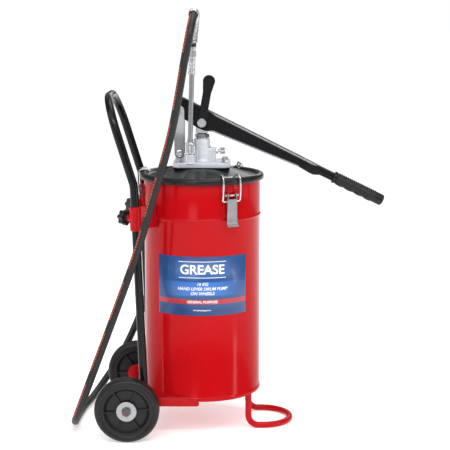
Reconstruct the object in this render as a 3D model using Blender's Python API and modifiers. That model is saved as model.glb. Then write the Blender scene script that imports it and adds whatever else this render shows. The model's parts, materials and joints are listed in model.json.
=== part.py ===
"""Manual grease pump on a two-wheeled trolley: drum, lid, lever pump, hose and push handle."""

import math

import bmesh
import bpy
from mathutils import Matrix, Vector

# ---- shared fits -------------------------------------------------------------------------
TOUCH_GAP = 0.0003            # left between pieces that touch
SLIDE_GAP = 0.0004            # radial room round a sliding tube or rod
ROUND_STEPS = 24
DRUM_STEPS = 40
FINE_STEPS = 80               # cutters that follow the drum's wall

# ---- drum and lid ------------------------------------------------------------------------
DRUM_RADIUS = 0.114
DRUM_HEIGHT = 0.428
DRUM_WALL = 0.0014
DRUM_BOTTOM = 0.0705          # underside of the drum above the floor
BEAD_BELOW_TOP = 0.0741       # rolled bead, measured down from the drum's top edge
BEAD_PROUD = 0.0018
RIM_HEIGHT = 0.0125
RIM_PROUD = 0.0073            # lid rim beyond the drum wall
LID_SHEET = 0.0015
LID_RISE = 0.0165             # centre of the lid above its shoulder
LID_FLAT_RADIUS = 0.052

# ---- trolley -----------------------------------------------------------------------------
WHEEL_RADIUS = 0.0625
WHEEL_WIDTH = 0.032
WHEEL_SIDES = 32
TYRE_BAND = 0.0190            # tyre radius beyond the recess in the wheel's side
RECESS_DEPTH = 0.0090
HUB_RADIUS = 0.0130
HUB_INSET = 0.0035            # hub face behind the tyre's outer face
RIB_THICKNESS = 0.0030
AXLE_RADIUS = 0.0060
AXLE_BEHIND_DRUM = 0.0275     # axle behind the back of the drum
WHEEL_STANDOFF = 0.0255       # wheel centre from the bracket's side plate
BRACKET_MARGIN = 0.0044       # side plate beyond the handle tube
BRACKET_SHEET = 0.0030
BRACKET_FRONT = -0.0040
BRACKET_LIP = 0.0098          # depth of the side plates under the drum
BRACKET_EYE_RADIUS = 0.0190
FOOT_ROD_RADIUS = 0.0062
FOOT_INSET = 0.0218           # foot legs behind the front of the drum
FOOT_HALF = 0.0570
FOOT_TOE = 0.0622             # centre of the rod at the toe, in front of the drum
FOOT_BEND = 0.0200

# ---- push handle -------------------------------------------------------------------------
HANDLE_TUBE_RADIUS = 0.0081
HANDLE_HALF = 0.1000
HANDLE_FOOT_INSET = 0.0036    # handle's foot in front of the back of the drum
HANDLE_LEAN = math.radians(2.2)
HANDLE_KINK_BELOW_TOP = 0.0085
HANDLE_UPPER_LEAN = math.radians(17.3)
HANDLE_ABOVE_DRUM = 0.1567
HANDLE_KINK_BEND = 0.0600
HANDLE_CORNER = 0.0750
CLAMP_BELOW_TOP = 0.0714
CLAMP_HEIGHT = 0.0460
CLAMP_SHEET = 0.0026
KNOB_RADIUS = 0.0160
KNOB_THICKNESS = 0.0150
KNOB_LOBES = 7
KNOB_STANDOFF = 0.0159        # knob's near face from the handle tube
STUD_RADIUS = 0.0030
WELD_NUT_RADIUS = 0.0075
WELD_NUT_LENGTH = 0.0109      # beyond the handle tube
WASHER_RADIUS = 0.0195
WASHER_SHEET = 0.0020
AXLE_BOLT_RADIUS = 0.0050
AXLE_BOLT_HEAD = 0.0095

# ---- draw latches ------------------------------------------------------------------------
LATCH_ANGLES = (-61.5, 58.5, 178.5)
LATCH_PIN_OUT = 0.0085        # base pin from the drum wall
LATCH_PIN_BELOW_TOP = 0.0251
BAIL_PIN_INSET = 0.0010
BAIL_PIN_DROP = 0.0114
BAIL_WIRE_RADIUS = 0.0018
BAIL_HALF = 0.0182
LATCH_LEVER_HALF = 0.0099
LATCH_LEVER_LENGTH = 0.0600
LATCH_SHEET = 0.0016
LATCH_BASE_HALF = 0.0140
LATCH_EAR_AT = 0.0068
LATCH_PIN_RADIUS = 0.0020

# ---- pump head ---------------------------------------------------------------------------
PLATE_HALF_X = 0.0560
PLATE_HALF_Y = 0.0450
PLATE_CHAMFER = 0.0110
PLATE_THICKNESS = 0.0107
BARREL_RADIUS = 0.0158
BARREL_HEIGHT = 0.0440
BARREL_ROOM = 0.0020          # grease passage round the rod
GLAND_NECK_WALL = 0.0035
GLAND_NECK_HEIGHT = 0.0020
GLAND_HEX_WALL = 0.0085
GLAND_HEX_HEIGHT = 0.0070
ROD_RADIUS = 0.0070
ROD_EYE_WIDTH = 0.0240
ROD_EYE_WALL = 0.0020         # eye beyond the rod on each side
LEVER_PIVOT_RISE = 0.0759     # above the pump's base plate
BOLT_RADIUS = 0.0040
BOLT_HEAD_PROUD = 0.0035
BOLT_HEAD_HEIGHT = 0.0060
LINK_X = -0.0436
LINK_FOOT_RISE = 0.0165       # above the pump's base plate
FULCRUM_X = -0.0439
FULCRUM_RISE = 0.0233         # above the lever's pivot
FULCRUM_PIN_RADIUS = 0.0035
FULCRUM_SLOT_HALF = 0.0069    # half the length of the slot that frees the closed linkage
FULCRUM_SLOT_SHIFT = -0.0007
FULCRUM_SLOT_RISE = 0.0008
LINK_SHEET = 0.0040
LINK_EYE_RADIUS = 0.0105
LINK_WEB_LOW = 0.0170         # ends of the link's web above its foot
LINK_WEB_HIGH = 0.0530
LUG_ROOM = 0.0008             # between the foot lug and the link's cheek
BOSS_RADIUS = 0.0112
BOSS_HEIGHT = 0.0160
NOZZLE_X = -0.0220
NOZZLE_Y = -0.0330
SIDE_BOSS_X = 0.0275
OUTLET_RISE = 0.0215
OUTLET_BOSS_END = 0.0300
OUTLET_HEX_LENGTH = 0.0120
OUTLET_HEX_RADIUS = 0.0105
OUTLET_LENGTH = 0.0340
VALVE_RISE = 0.0200
VALVE_HEX_RADIUS = 0.0066
VALVE_HEX_LENGTH = 0.0040
VALVE_STEM_RADIUS = 0.0030
VALVE_STEM_LENGTH = 0.0070
VENT_KNOB_RADIUS = 0.0064
VENT_KNOB_LENGTH = 0.0100
BASE_BOLT_X = 0.0450
BASE_BOLT_Y = 0.0290
BASE_BOLT_RADIUS = 0.0030
BASE_BOLT_HEAD = 0.0062
BASE_BOLT_HEAD_HEIGHT = 0.0050

# ---- lever -------------------------------------------------------------------------------
LEVER_SLOPE = math.radians(25.9)
LEVER_TAIL = -0.0620
LEVER_TOP = 0.0282            # upper edge above the line through the pivot
LEVER_BOTTOM = -0.0128
LEVER_LIP_START = (0.0280, -0.0064)      # the lower edge climbs from here to the channel's end
LEVER_CHANNEL_END = 0.2075
LEVER_TOP_END = 0.0252
LEVER_BOTTOM_END = 0.0053
LEVER_ROOM = 0.0007           # between the rod's eye and the channel's wall
LEVER_SHEET = 0.0025
LEVER_LIP = 0.0040
NECK_LINE = 0.0163
NECK_RADIUS = 0.0088
GRIP_START = 0.2790
GRIP_END = 0.3885
GRIP_RADIUS = 0.0122
LEVER_TUBE_RADIUS = 0.0085

# ---- steadying handle --------------------------------------------------------------------
STEADY_LEAN = math.radians(10.0)
STEADY_LENGTH = 0.0935
STEADY_FOOT_RADIUS = 0.0095
STEADY_NECK_HALF = 0.0058
STEADY_SPOON_HALF = 0.0105
STEADY_THICKNESS = 0.0060

# ---- nozzle and hose ---------------------------------------------------------------------
COUPLER_RADIUS = 0.0092
COUPLER_HEIGHT = 0.0235
NOZZLE_TUBE_RADIUS = 0.0048
SWIVEL_LENGTH = 0.0545
FERRULE_RADIUS = 0.0072
SPRING_RADIUS = 0.0100
SPRING_POINTS = 5
HOSE_RADIUS = 0.0075
HOSE_SAMPLES = 76
HOSE_ROUTE = (                # nozzle end to pump end, measured from the drum's axis
    (-0.0170, -0.0330, 0.7503), (-0.0168, -0.0331, 0.7570), (-0.0150, -0.0408, 0.7833),
    (-0.0125, -0.0623, 0.8047), (-0.0118, -0.0915, 0.8125), (-0.0130, -0.1208, 0.8047),
    (-0.0170, -0.1430, 0.7833), (-0.0222, -0.1495, 0.7560), (-0.0278, -0.1500, 0.7266),
    (-0.0368, -0.1500, 0.6741), (-0.0511, -0.1475, 0.6006), (-0.0676, -0.1420, 0.5388),
    (-0.0890, -0.1365, 0.4686), (-0.1175, -0.1320, 0.3740), (-0.1526, -0.1335, 0.2762),
    (-0.1945, -0.1410, 0.1640), (-0.2235, -0.1410, 0.0870), (-0.2410, -0.1170, 0.0410),
    (-0.2500, -0.0700, 0.0165), (-0.2510, -0.0150, 0.0096), (-0.2460, 0.0500, 0.0093),
    (-0.2360, 0.1050, 0.0112), (-0.2260, 0.1550, 0.0175),
    (-0.2120, 0.1850, 0.0340), (-0.1920, 0.1950, 0.0620), (-0.1720, 0.1930, 0.1000),
    (-0.1500, 0.1880, 0.1480), (-0.1150, 0.1800, 0.2350), (-0.0750, 0.1690, 0.3300),
    (-0.0350, 0.1570, 0.4150), (-0.0080, 0.1450, 0.4720), (0.0000, 0.1340, 0.5120),
    (0.0000, 0.1170, 0.5370), (0.0000, 0.0930, 0.5480), (0.0000, 0.0643, 0.5480),
)

# ---- inside the drum ---------------------------------------------------------------------
PUMP_TUBE_RADIUS = 0.0190
PUMP_TUBE_WALL = 0.0025
PUMP_TUBE_RISE = 0.0195       # open end above the drum's underside
FOOT_VALVE_BORE = 0.0060
FOOT_VALVE_HEIGHT = 0.0120
PISTON_LENGTH = 0.0240
PISTON_RISE = 0.0400          # piston above the open end of its tube
FOLLOWER_RISE = 0.0295        # follower plate above the drum's underside
FOLLOWER_SHEET = 0.0030
SEAL_HEIGHT = 0.0120
SEAL_THICKNESS = 0.0040

# ---- heights and radii that follow from the sizes above ----------------------------------
DRUM_TOP = DRUM_BOTTOM + DRUM_HEIGHT
DRUM_INSIDE = DRUM_RADIUS - DRUM_WALL
RIM_RADIUS = DRUM_RADIUS + RIM_PROUD
RIM_TOP = DRUM_TOP + 0.0068
SHOULDER = RIM_TOP - 0.0063
LID_TOP = SHOULDER + LID_RISE
PLATE_BOTTOM = LID_TOP + TOUCH_GAP
PLATE_TOP = PLATE_BOTTOM + PLATE_THICKNESS
BARREL_TOP = PLATE_TOP + BARREL_HEIGHT
GLAND_TOP = BARREL_TOP + TOUCH_GAP + GLAND_NECK_HEIGHT + GLAND_HEX_HEIGHT
BRACKET_TOP = DRUM_BOTTOM - TOUCH_GAP
BRACKET_HALF = HANDLE_HALF + HANDLE_TUBE_RADIUS + BRACKET_MARGIN
TRACK_HALF = BRACKET_HALF + WHEEL_STANDOFF
AXLE_BACK = DRUM_RADIUS + AXLE_BEHIND_DRUM
RECESS_RADIUS = WHEEL_RADIUS - TYRE_BAND
WHEEL_OUTER = TRACK_HALF + WHEEL_WIDTH / 2
HUB_OUTER = WHEEL_OUTER - HUB_INSET
FOOT_X = DRUM_RADIUS - FOOT_INSET
FOOT_REACH = DRUM_RADIUS + FOOT_TOE
HANDLE_FOOT_X = HANDLE_FOOT_INSET - DRUM_RADIUS
HANDLE_KINK_HEIGHT = DRUM_TOP - HANDLE_KINK_BELOW_TOP
HANDLE_TOP = DRUM_TOP + HANDLE_ABOVE_DRUM
CLAMP_MIDDLE = DRUM_TOP - CLAMP_BELOW_TOP
KNOB_FACE = HANDLE_TUBE_RADIUS + KNOB_STANDOFF
LATCH_PIN_RADIUS_OUT = DRUM_RADIUS + LATCH_PIN_OUT
LATCH_PIN_HEIGHT = DRUM_TOP - LATCH_PIN_BELOW_TOP
LEVER_PIVOT_HEIGHT = PLATE_TOP + LEVER_PIVOT_RISE
LINK_FOOT_HEIGHT = PLATE_TOP + LINK_FOOT_RISE
OUTLET_Z = PLATE_TOP + OUTLET_RISE
VALVE_Z = PLATE_TOP + VALVE_RISE
BARREL_BORE = ROD_RADIUS + BARREL_ROOM
GLAND_NECK_RADIUS = ROD_RADIUS + GLAND_NECK_WALL
GLAND_HEX_RADIUS = ROD_RADIUS + GLAND_HEX_WALL
ROD_EYE_DEPTH = 2 * (ROD_RADIUS + ROD_EYE_WALL)
LEVER_HALF = ROD_EYE_DEPTH / 2 + LEVER_ROOM + LEVER_SHEET
LUG_HALF = LEVER_HALF + TOUCH_GAP * 2 - LUG_ROOM
BOLT_HEAD_RADIUS = BOLT_RADIUS + BOLT_HEAD_PROUD
PUMP_TUBE_BORE = PUMP_TUBE_RADIUS - PUMP_TUBE_WALL
PUMP_TUBE_BOTTOM = DRUM_BOTTOM + PUMP_TUBE_RISE
PISTON_BOTTOM = PUMP_TUBE_BOTTOM + PISTON_RISE
FOLLOWER_HEIGHT = DRUM_BOTTOM + FOLLOWER_RISE


# ---- scene set-up ------------------------------------------------------------------------
def clear_scene():
    for leftover in list(bpy.data.objects):
        bpy.data.objects.remove(leftover, do_unlink=True)


clear_scene()
pump_parts = bpy.data.collections.new("grease_pump_trolley")
cutters = bpy.data.collections.new("cutters")
for group in (pump_parts, cutters):
    bpy.context.scene.collection.children.link(group)


RED_PAINT = ("red_paint", (0.60, 0.012, 0.018), 0.22, 0.0)
BLACK_ENAMEL = ("black_enamel", (0.018, 0.018, 0.019), 0.30, 0.0)
BLACK_PLASTIC = ("black_plastic", (0.022, 0.022, 0.024), 0.48, 0.0)
BLACK_RUBBER = ("black_rubber", (0.020, 0.020, 0.021), 0.62, 0.0)
ZINC = ("zinc_plate", (0.62, 0.63, 0.65), 0.32, 1.0)
CAST_ALLOY = ("cast_alloy", (0.66, 0.68, 0.71), 0.45, 0.9)
DARK_STEEL = ("dark_steel", (0.12, 0.12, 0.13), 0.42, 1.0)


def own_material(name, look):
    label, colour, roughness, metallic = look
    material = bpy.data.materials.new(name + "_" + label)
    material.use_nodes = True
    shader = material.node_tree.nodes["Principled BSDF"]
    shader.inputs["Base Color"].default_value = (*colour, 1.0)
    shader.inputs["Roughness"].default_value = roughness
    shader.inputs["Metallic"].default_value = metallic
    return material


def empty(name, at, turn=(0, 0, 0), parent=None):
    pivot = bpy.data.objects.new(name, None)
    pump_parts.objects.link(pivot)
    pivot.location = at
    pivot.rotation_euler = turn
    pivot.parent = parent
    return pivot


def place(piece, parent, at=(0, 0, 0), turn=(0, 0, 0)):
    piece.location = at
    piece.rotation_euler = turn
    piece.parent = parent
    return piece


def as_part(piece, look):
    for group in piece.users_collection:
        group.objects.unlink(piece)
    pump_parts.objects.link(piece)
    piece.data.materials.clear()
    piece.data.materials.append(own_material(piece.name, look))
    piece.data.shade_smooth()
    piece.data.set_sharp_from_angle(angle=math.radians(35))
    return piece


def as_cutter(piece):
    for group in piece.users_collection:
        group.objects.unlink(piece)
    cutters.objects.link(piece)
    piece.hide_render = True
    piece.display_type = "WIRE"
    return piece


def combine(target, tools, operation):
    for tool in tools:
        as_cutter(tool)
        step = target.modifiers.new(operation.lower(), "BOOLEAN")
        step.operation = operation
        step.solver = "EXACT"
        step.object = tool
    return target


def cut(target, *tools):
    return combine(target, tools, "DIFFERENCE")


def join(target, *tools):
    return combine(target, tools, "UNION")


def from_bmesh(name, mesh_edit):
    mesh = bpy.data.meshes.new(name)
    mesh_edit.to_mesh(mesh)
    mesh_edit.free()
    piece = bpy.data.objects.new(name, mesh)
    bpy.context.scene.collection.objects.link(piece)
    return piece


# ---- shapes ------------------------------------------------------------------------------
def turned(name, profile, steps=ROUND_STEPS, ring=False):
    """Spin (radius, height) points about Z; the outer side runs from top to bottom."""
    edit = bmesh.new()
    points = [edit.verts.new((radius, 0, height)) for radius, height in profile]
    for start, end in zip(points, points[1:]):
        edit.edges.new((start, end))
    if ring:
        edit.edges.new((points[-1], points[0]))
    piece = from_bmesh(name, edit)
    screw = piece.modifiers.new("turn", "SCREW")
    screw.steps = screw.render_steps = steps
    screw.use_merge_vertices = True
    screw.merge_threshold = 0.00001
    return piece


def sleeve(name, outer, inner, bottom, top, steps=ROUND_STEPS):
    return turned(name, [(outer, top), (outer, bottom), (inner, bottom), (inner, top)], steps, True)


def drum_shape(name, radius, bottom, top, steps=ROUND_STEPS):
    return turned(name, [(0, top), (radius, top), (radius, bottom), (0, bottom)], steps)


def block(name, low, high, bevel=0.0):
    edit = bmesh.new()
    bmesh.ops.create_cube(edit, size=1.0)
    size = Vector(high) - Vector(low)
    middle = (Vector(high) + Vector(low)) / 2
    bmesh.ops.transform(edit, matrix=Matrix.Translation(middle) @ Matrix.Diagonal((*size, 1)),
                        verts=edit.verts)
    piece = from_bmesh(name, edit)
    if bevel:
        soften(piece, bevel)
    return piece


def soften(piece, width, segments=1):
    edge = piece.modifiers.new("edges", "BEVEL")
    edge.width = width
    edge.segments = segments
    edge.limit_method = "ANGLE"
    edge.angle_limit = math.radians(50)
    return piece


def curve_to_mesh(curve, name):
    """A filled curve as a closed mesh, with its loose caps welded on."""
    drawn = bpy.data.objects.new(name + "_curve", curve)
    bpy.context.scene.collection.objects.link(drawn)
    graph = bpy.context.evaluated_depsgraph_get()
    mesh = bpy.data.meshes.new_from_object(drawn.evaluated_get(graph))
    bpy.data.objects.remove(drawn, do_unlink=True)
    edit = bmesh.new()
    edit.from_mesh(mesh)
    bmesh.ops.remove_doubles(edit, verts=edit.verts, dist=0.00001)
    bmesh.ops.recalc_face_normals(edit, faces=edit.faces)
    bpy.data.meshes.remove(mesh)
    return from_bmesh(name, edit)


def outline_plate(name, outline, near, far):
    """A flat outline of (x, z) points with its thickness from y = near to y = far."""
    curve = bpy.data.curves.new(name, "CURVE")
    curve.dimensions = "2D"
    curve.fill_mode = "BOTH"
    curve.extrude = (far - near) / 2
    spline = curve.splines.new("POLY")
    spline.points.add(len(outline) - 1)
    for point, (x, z) in zip(spline.points, outline):
        point.co = (x, z, 0, 1)
    spline.use_cyclic_u = True
    piece = curve_to_mesh(curve, name)
    upright = Matrix.Translation((0, (near + far) / 2, 0)) @ Matrix.Rotation(math.pi / 2, 4, "X")
    piece.data.transform(upright)
    return piece


def bent_rod(name, points, radius, sides_step=2, roll=0.0):
    curve = bpy.data.curves.new(name, "CURVE")
    curve.dimensions = "3D"
    curve.bevel_depth = radius
    curve.bevel_resolution = sides_step
    curve.use_fill_caps = True
    spline = curve.splines.new("POLY")
    spline.points.add(len(points) - 1)
    for point, place_at in zip(spline.points, points):
        point.co = (*place_at, 1)
        point.tilt = roll
    return curve_to_mesh(curve, name)


def arc(centre, radius, start, end, count):
    """Points of a flat arc, with its angles in degrees."""
    sweep = [math.radians(start + (end - start) * step / count) for step in range(count + 1)]
    return [(centre[0] + radius * math.cos(angle), centre[1] + radius * math.sin(angle)) for angle in sweep]


def rounded_path(corners, radii, count=5):
    """A path through the corners, each replaced by an arc of its own radius."""
    corners = [Vector(corner) for corner in corners]
    path = [corners[0]]
    for before, corner, after, radius in zip(corners, corners[1:], corners[2:], radii):
        into = (before - corner).normalized()
        out = (after - corner).normalized()
        half_angle = into.angle(out) / 2
        run = radius / math.tan(half_angle)
        centre = corner + (into + out).normalized() * radius / math.sin(half_angle)
        first = corner + into * run - centre
        last = corner + out * run - centre
        turn_axis = first.cross(last).normalized()
        sweep = first.angle(last)
        for step in range(count + 1):
            path.append(centre + Matrix.Rotation(sweep * step / count, 3, turn_axis) @ first)
    path.append(corners[-1])
    return path


def smooth_route(route, samples):
    """Evenly spaced points on a smooth curve through the route's own points."""
    route = [Vector(point) for point in route]
    padded = [2 * route[0] - route[1]] + route + [2 * route[-1] - route[-2]]
    dense = []
    for p0, p1, p2, p3 in zip(padded, padded[1:], padded[2:], padded[3:]):
        knot1 = (p1 - p0).length ** 0.5
        knot2 = knot1 + (p2 - p1).length ** 0.5
        knot3 = knot2 + (p3 - p2).length ** 0.5
        for step in range(24):
            t = knot1 + (knot2 - knot1) * step / 24
            a1 = p0 + (p1 - p0) * t / knot1
            a2 = p1 + (p2 - p1) * (t - knot1) / (knot2 - knot1)
            a3 = p2 + (p3 - p2) * (t - knot2) / (knot3 - knot2)
            b1 = a1 + (a2 - a1) * t / knot2
            b2 = a2 + (a3 - a2) * (t - knot1) / (knot3 - knot1)
            dense.append(b1 + (b2 - b1) * (t - knot1) / (knot2 - knot1))
    dense.append(route[-1])
    run = [0.0]
    for start, end in zip(dense, dense[1:]):
        run.append(run[-1] + (end - start).length)
    points = []
    index = 0
    for sample in range(samples):
        wanted = run[-1] * sample / (samples - 1)
        while index < len(dense) - 2 and run[index + 1] < wanted:
            index += 1
        share = (wanted - run[index]) / (run[index + 1] - run[index])
        points.append(dense[index].lerp(dense[index + 1], share))
    return points


def pin_between(name, start, end, radius, steps=16):
    """A round bar from one point to another."""
    start, end = Vector(start), Vector(end)
    bar = drum_shape(name, radius, 0, (end - start).length, steps)
    bar.location = start
    bar.rotation_euler = (end - start).to_track_quat("Z", "Y").to_euler()
    return bar


def hex_between(name, start, end, radius):
    return pin_between(name, start, end, radius, 6)


def with_parent(piece, parent):
    piece.parent = parent
    return piece


def bolt(name, look, parent, head_face, tip, shank_radius, head_radius, head_height, nut_face=None):
    """A hex bolt along one line; with nut_face it carries its nut on the tip."""
    head_face, tip = Vector(head_face), Vector(tip)
    along = (tip - head_face).normalized()
    overlap = along * 0.0005
    head = hex_between(name, head_face - along * head_height, head_face, head_radius)
    shank = pin_between(name + "_shank", head_face - overlap, tip, shank_radius, 12)
    tools = [with_parent(shank, parent)]
    if nut_face is not None:
        nut_face = Vector(nut_face)
        nut = hex_between(name + "_nut", nut_face, nut_face + along * head_height, head_radius)
        tools.append(with_parent(nut, parent))
    join(head, *tools)
    head.parent = parent
    return as_part(head, look)


# ---- drum, lid and their latches ---------------------------------------------------------
def make_drum(root):
    bead = DRUM_TOP - BEAD_BELOW_TOP
    chime = DRUM_BOTTOM + 0.0060
    profile = [
        (0, DRUM_BOTTOM + DRUM_WALL), (DRUM_INSIDE, DRUM_BOTTOM + DRUM_WALL), (DRUM_INSIDE, DRUM_TOP),
        (DRUM_RADIUS, DRUM_TOP), (DRUM_RADIUS, bead + 0.0032), (DRUM_RADIUS + BEAD_PROUD, bead + 0.0010),
        (DRUM_RADIUS + BEAD_PROUD, bead - 0.0010), (DRUM_RADIUS, bead - 0.0032), (DRUM_RADIUS, chime),
        (DRUM_RADIUS + BEAD_PROUD, chime - 0.0020), (DRUM_RADIUS + BEAD_PROUD, DRUM_BOTTOM + 0.0010),
        (DRUM_RADIUS, DRUM_BOTTOM), (0, DRUM_BOTTOM),
    ]
    drum = place(turned("drum", profile, DRUM_STEPS), root)
    as_part(drum, RED_PAINT)


def make_lid(root):
    hole = PUMP_TUBE_RADIUS + SLIDE_GAP
    skirt_bottom = RIM_TOP - RIM_HEIGHT
    inner_skirt = DRUM_RADIUS + 0.0018
    slope = LID_RISE / (DRUM_RADIUS - 0.0105 - LID_FLAT_RADIUS)
    under = LID_SHEET * 1.05
    profile = [
        (hole, LID_TOP), (LID_FLAT_RADIUS, LID_TOP), (DRUM_RADIUS - 0.0105, SHOULDER),
        (DRUM_RADIUS - 0.0065, SHOULDER + 0.0013), (DRUM_RADIUS - 0.0040, RIM_TOP - 0.0016),
        (DRUM_RADIUS - 0.0005, RIM_TOP), (DRUM_RADIUS + 0.0040, RIM_TOP - 0.0007),
        (RIM_RADIUS - 0.0006, RIM_TOP - 0.0033), (RIM_RADIUS, RIM_TOP - 0.0068),
        (RIM_RADIUS - 0.0003, skirt_bottom + 0.0017), (RIM_RADIUS - 0.0023, skirt_bottom),
        (inner_skirt + 0.0008, skirt_bottom), (inner_skirt, skirt_bottom + 0.0012),
        (inner_skirt, RIM_TOP - 0.0034), (DRUM_RADIUS - 0.0030, RIM_TOP - 0.0034),
        (DRUM_RADIUS - 0.0060, SHOULDER - under), (DRUM_RADIUS - 0.0105, SHOULDER - under),
        (LID_FLAT_RADIUS, LID_TOP - under), (hole, LID_TOP - under),
    ]
    lid = place(turned("lid", profile, DRUM_STEPS, True), root)
    as_part(lid, BLACK_ENAMEL)
    gasket_top = RIM_TOP - 0.0034 - TOUCH_GAP
    gasket = sleeve("lid_gasket", inner_skirt - SLIDE_GAP, DRUM_RADIUS - 0.0028,
                    DRUM_TOP + TOUCH_GAP, gasket_top, DRUM_STEPS)
    as_part(place(gasket, root), BLACK_RUBBER)
    eye_out = DRUM_RADIUS - 0.0113
    eye_seat = SHOULDER + slope * 0.0010
    for name, heading in (("lid_eye_right", 43), ("lid_eye_left", 223)):
        stand = empty(name + "_seat", (0, 0, 0), (0, 0, math.radians(heading - 90)), root)
        outline = arc((0, eye_seat + 0.0130), 0.0055, -30, 210, 10)
        outline += [(-0.0055, eye_seat + 0.0040), (0.0055, eye_seat + 0.0040)]
        eye = outline_plate(name, outline, eye_out - 0.0052, eye_out - 0.0020)
        hole_tool = pin_between(name + "_hole", (0, eye_out - 0.0100, eye_seat + 0.0130),
                                (0, eye_out + 0.0050, eye_seat + 0.0130), 0.0026, 12)
        cut(eye, with_parent(hole_tool, stand))
        eye.parent = stand
        as_part(eye, BLACK_ENAMEL)


def make_latch(number, heading, root):
    """One draw latch, built with its outward direction along X and turned to its place."""
    tag = "_" + str(number)
    seat = empty("latch_seat" + tag, (0, 0, 0), (0, 0, math.radians(heading)), root)
    pivot_at = (LATCH_PIN_RADIUS_OUT, 0, LATCH_PIN_HEIGHT)
    lever_pivot = empty("latch_pivot" + tag, pivot_at, (0, 0, 0), seat)
    bail_pivot = empty("bail_pivot" + tag, (-BAIL_PIN_INSET, 0, -BAIL_PIN_DROP), (0, 0, 0), lever_pivot)

    wall = DRUM_RADIUS + TOUCH_GAP
    base = block("latch_base" + tag, (wall, -LATCH_BASE_HALF, LATCH_PIN_HEIGHT - 0.0440),
                 (wall + 0.0030, LATCH_BASE_HALF, LATCH_PIN_HEIGHT + 0.0100))
    ears = []
    for side in (-1, 1):
        ear_in, ear_out = sorted((side * (LATCH_EAR_AT - 0.0010), side * (LATCH_EAR_AT + 0.0010)))
        outline = [(wall + 0.0010, LATCH_PIN_HEIGHT - 0.0060)]
        outline += [(LATCH_PIN_RADIUS_OUT, LATCH_PIN_HEIGHT - 0.0042)]
        outline += arc((LATCH_PIN_RADIUS_OUT, LATCH_PIN_HEIGHT), 0.0042, -60, 60, 4)
        outline += [(LATCH_PIN_RADIUS_OUT, LATCH_PIN_HEIGHT + 0.0042)]
        outline += [(wall + 0.0010, LATCH_PIN_HEIGHT + 0.0080)]
        ears.append(with_parent(outline_plate("ear" + tag, outline, ear_in, ear_out), seat))
    join(base, *ears)
    drum_face = drum_shape("drum_face" + tag, wall, LATCH_PIN_HEIGHT - 0.06, LATCH_PIN_HEIGHT + 0.03,
                           FINE_STEPS)
    pin_hole = pin_between("pin_hole" + tag, (pivot_at[0], -0.02, pivot_at[2]),
                           (pivot_at[0], 0.02, pivot_at[2]), LATCH_PIN_RADIUS + TOUCH_GAP, 12)
    cut(base, with_parent(drum_face, seat), with_parent(pin_hole, seat))
    as_part(place(base, seat), RED_PAINT)

    pin_half = LATCH_LEVER_HALF + 0.0040
    pin = pin_between("latch_pin" + tag, (pivot_at[0], -pin_half, pivot_at[2]),
                      (pivot_at[0], pin_half, pivot_at[2]), LATCH_PIN_RADIUS, 12)
    as_part(with_parent(pin, seat), ZINC)

    front = 0.0018 + LATCH_SHEET
    strip_profile = [(0.0018, -0.0068), (0.0018, -0.0325), (0.0012, -0.0440), (0.0030, -0.0530),
                     (0.0074, -LATCH_LEVER_LENGTH), (0.0088, -LATCH_LEVER_LENGTH + 0.0010),
                     (0.0046, -0.0525), (0.0028, -0.0440), (front, -0.0325), (front, -0.0068)]
    strip = outline_plate("latch_lever" + tag, strip_profile, -LATCH_LEVER_HALF, LATCH_LEVER_HALF)
    cheeks = []
    for side in (-1, 1):
        low, high = sorted((side * (LATCH_LEVER_HALF + 0.0001), side * (LATCH_LEVER_HALF - LATCH_SHEET)))
        cheek = [(front - 0.0006, -0.0240), (front - 0.0006, -0.0072), (0.0044, 0.0012)]
        cheek += arc((0, 0), 0.0046, 30, 170, 5)
        cheek += [(-0.0046, -BAIL_PIN_DROP), (-0.0030, -BAIL_PIN_DROP - 0.0042), (0.0010, -0.0240)]
        cheeks.append(with_parent(outline_plate("cheek" + tag, cheek, low, high), lever_pivot))
    join(strip, *cheeks)
    pin_clear = pin_between("lever_hole" + tag, (0, -0.02, 0), (0, 0.02, 0), LATCH_PIN_RADIUS + TOUCH_GAP, 12)
    hook_clear = pin_between("hook_hole" + tag, (-BAIL_PIN_INSET, -0.02, -BAIL_PIN_DROP),
                             (-BAIL_PIN_INSET, 0.02, -BAIL_PIN_DROP), BAIL_WIRE_RADIUS + TOUCH_GAP, 12)
    cut(strip, with_parent(pin_clear, lever_pivot), with_parent(hook_clear, lever_pivot))
    as_part(place(strip, lever_pivot), ZINC)

    pin_r = LATCH_PIN_RADIUS_OUT - BAIL_PIN_INSET
    pin_z = LATCH_PIN_HEIGHT - BAIL_PIN_DROP
    over = [(0.0024, 0.0130), (0.0034, 0.0350), (RIM_RADIUS - pin_r, RIM_TOP + 0.0034 - pin_z),
            (DRUM_RADIUS - 0.0017 - pin_r, RIM_TOP + 0.0062 - pin_z),
            (DRUM_RADIUS - 0.0075 - pin_r, RIM_TOP + 0.0024 - pin_z),
            (DRUM_RADIUS - 0.0098 - pin_r, RIM_TOP - 0.0004 - pin_z)]
    side_path = [(0, LATCH_LEVER_HALF - LATCH_SHEET - 0.0002, 0), (0, BAIL_HALF, 0)]
    side_path += [(over[0][0], BAIL_HALF, over[0][1])]
    side_path += [(over[1][0], BAIL_HALF, over[1][1]), (over[2][0], BAIL_HALF - 0.0004, over[2][1])]
    side_path += [(over[3][0], BAIL_HALF - 0.0016, over[3][1]), (over[4][0], BAIL_HALF - 0.0050, over[4][1])]
    side_path += [(over[5][0], BAIL_HALF - 0.0090, over[5][1])]
    other_side = [(x, -y, z) for x, y, z in side_path[::-1]]
    bail = bent_rod("latch_bail" + tag, side_path + other_side, BAIL_WIRE_RADIUS)
    as_part(place(bail, bail_pivot), ZINC)


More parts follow.
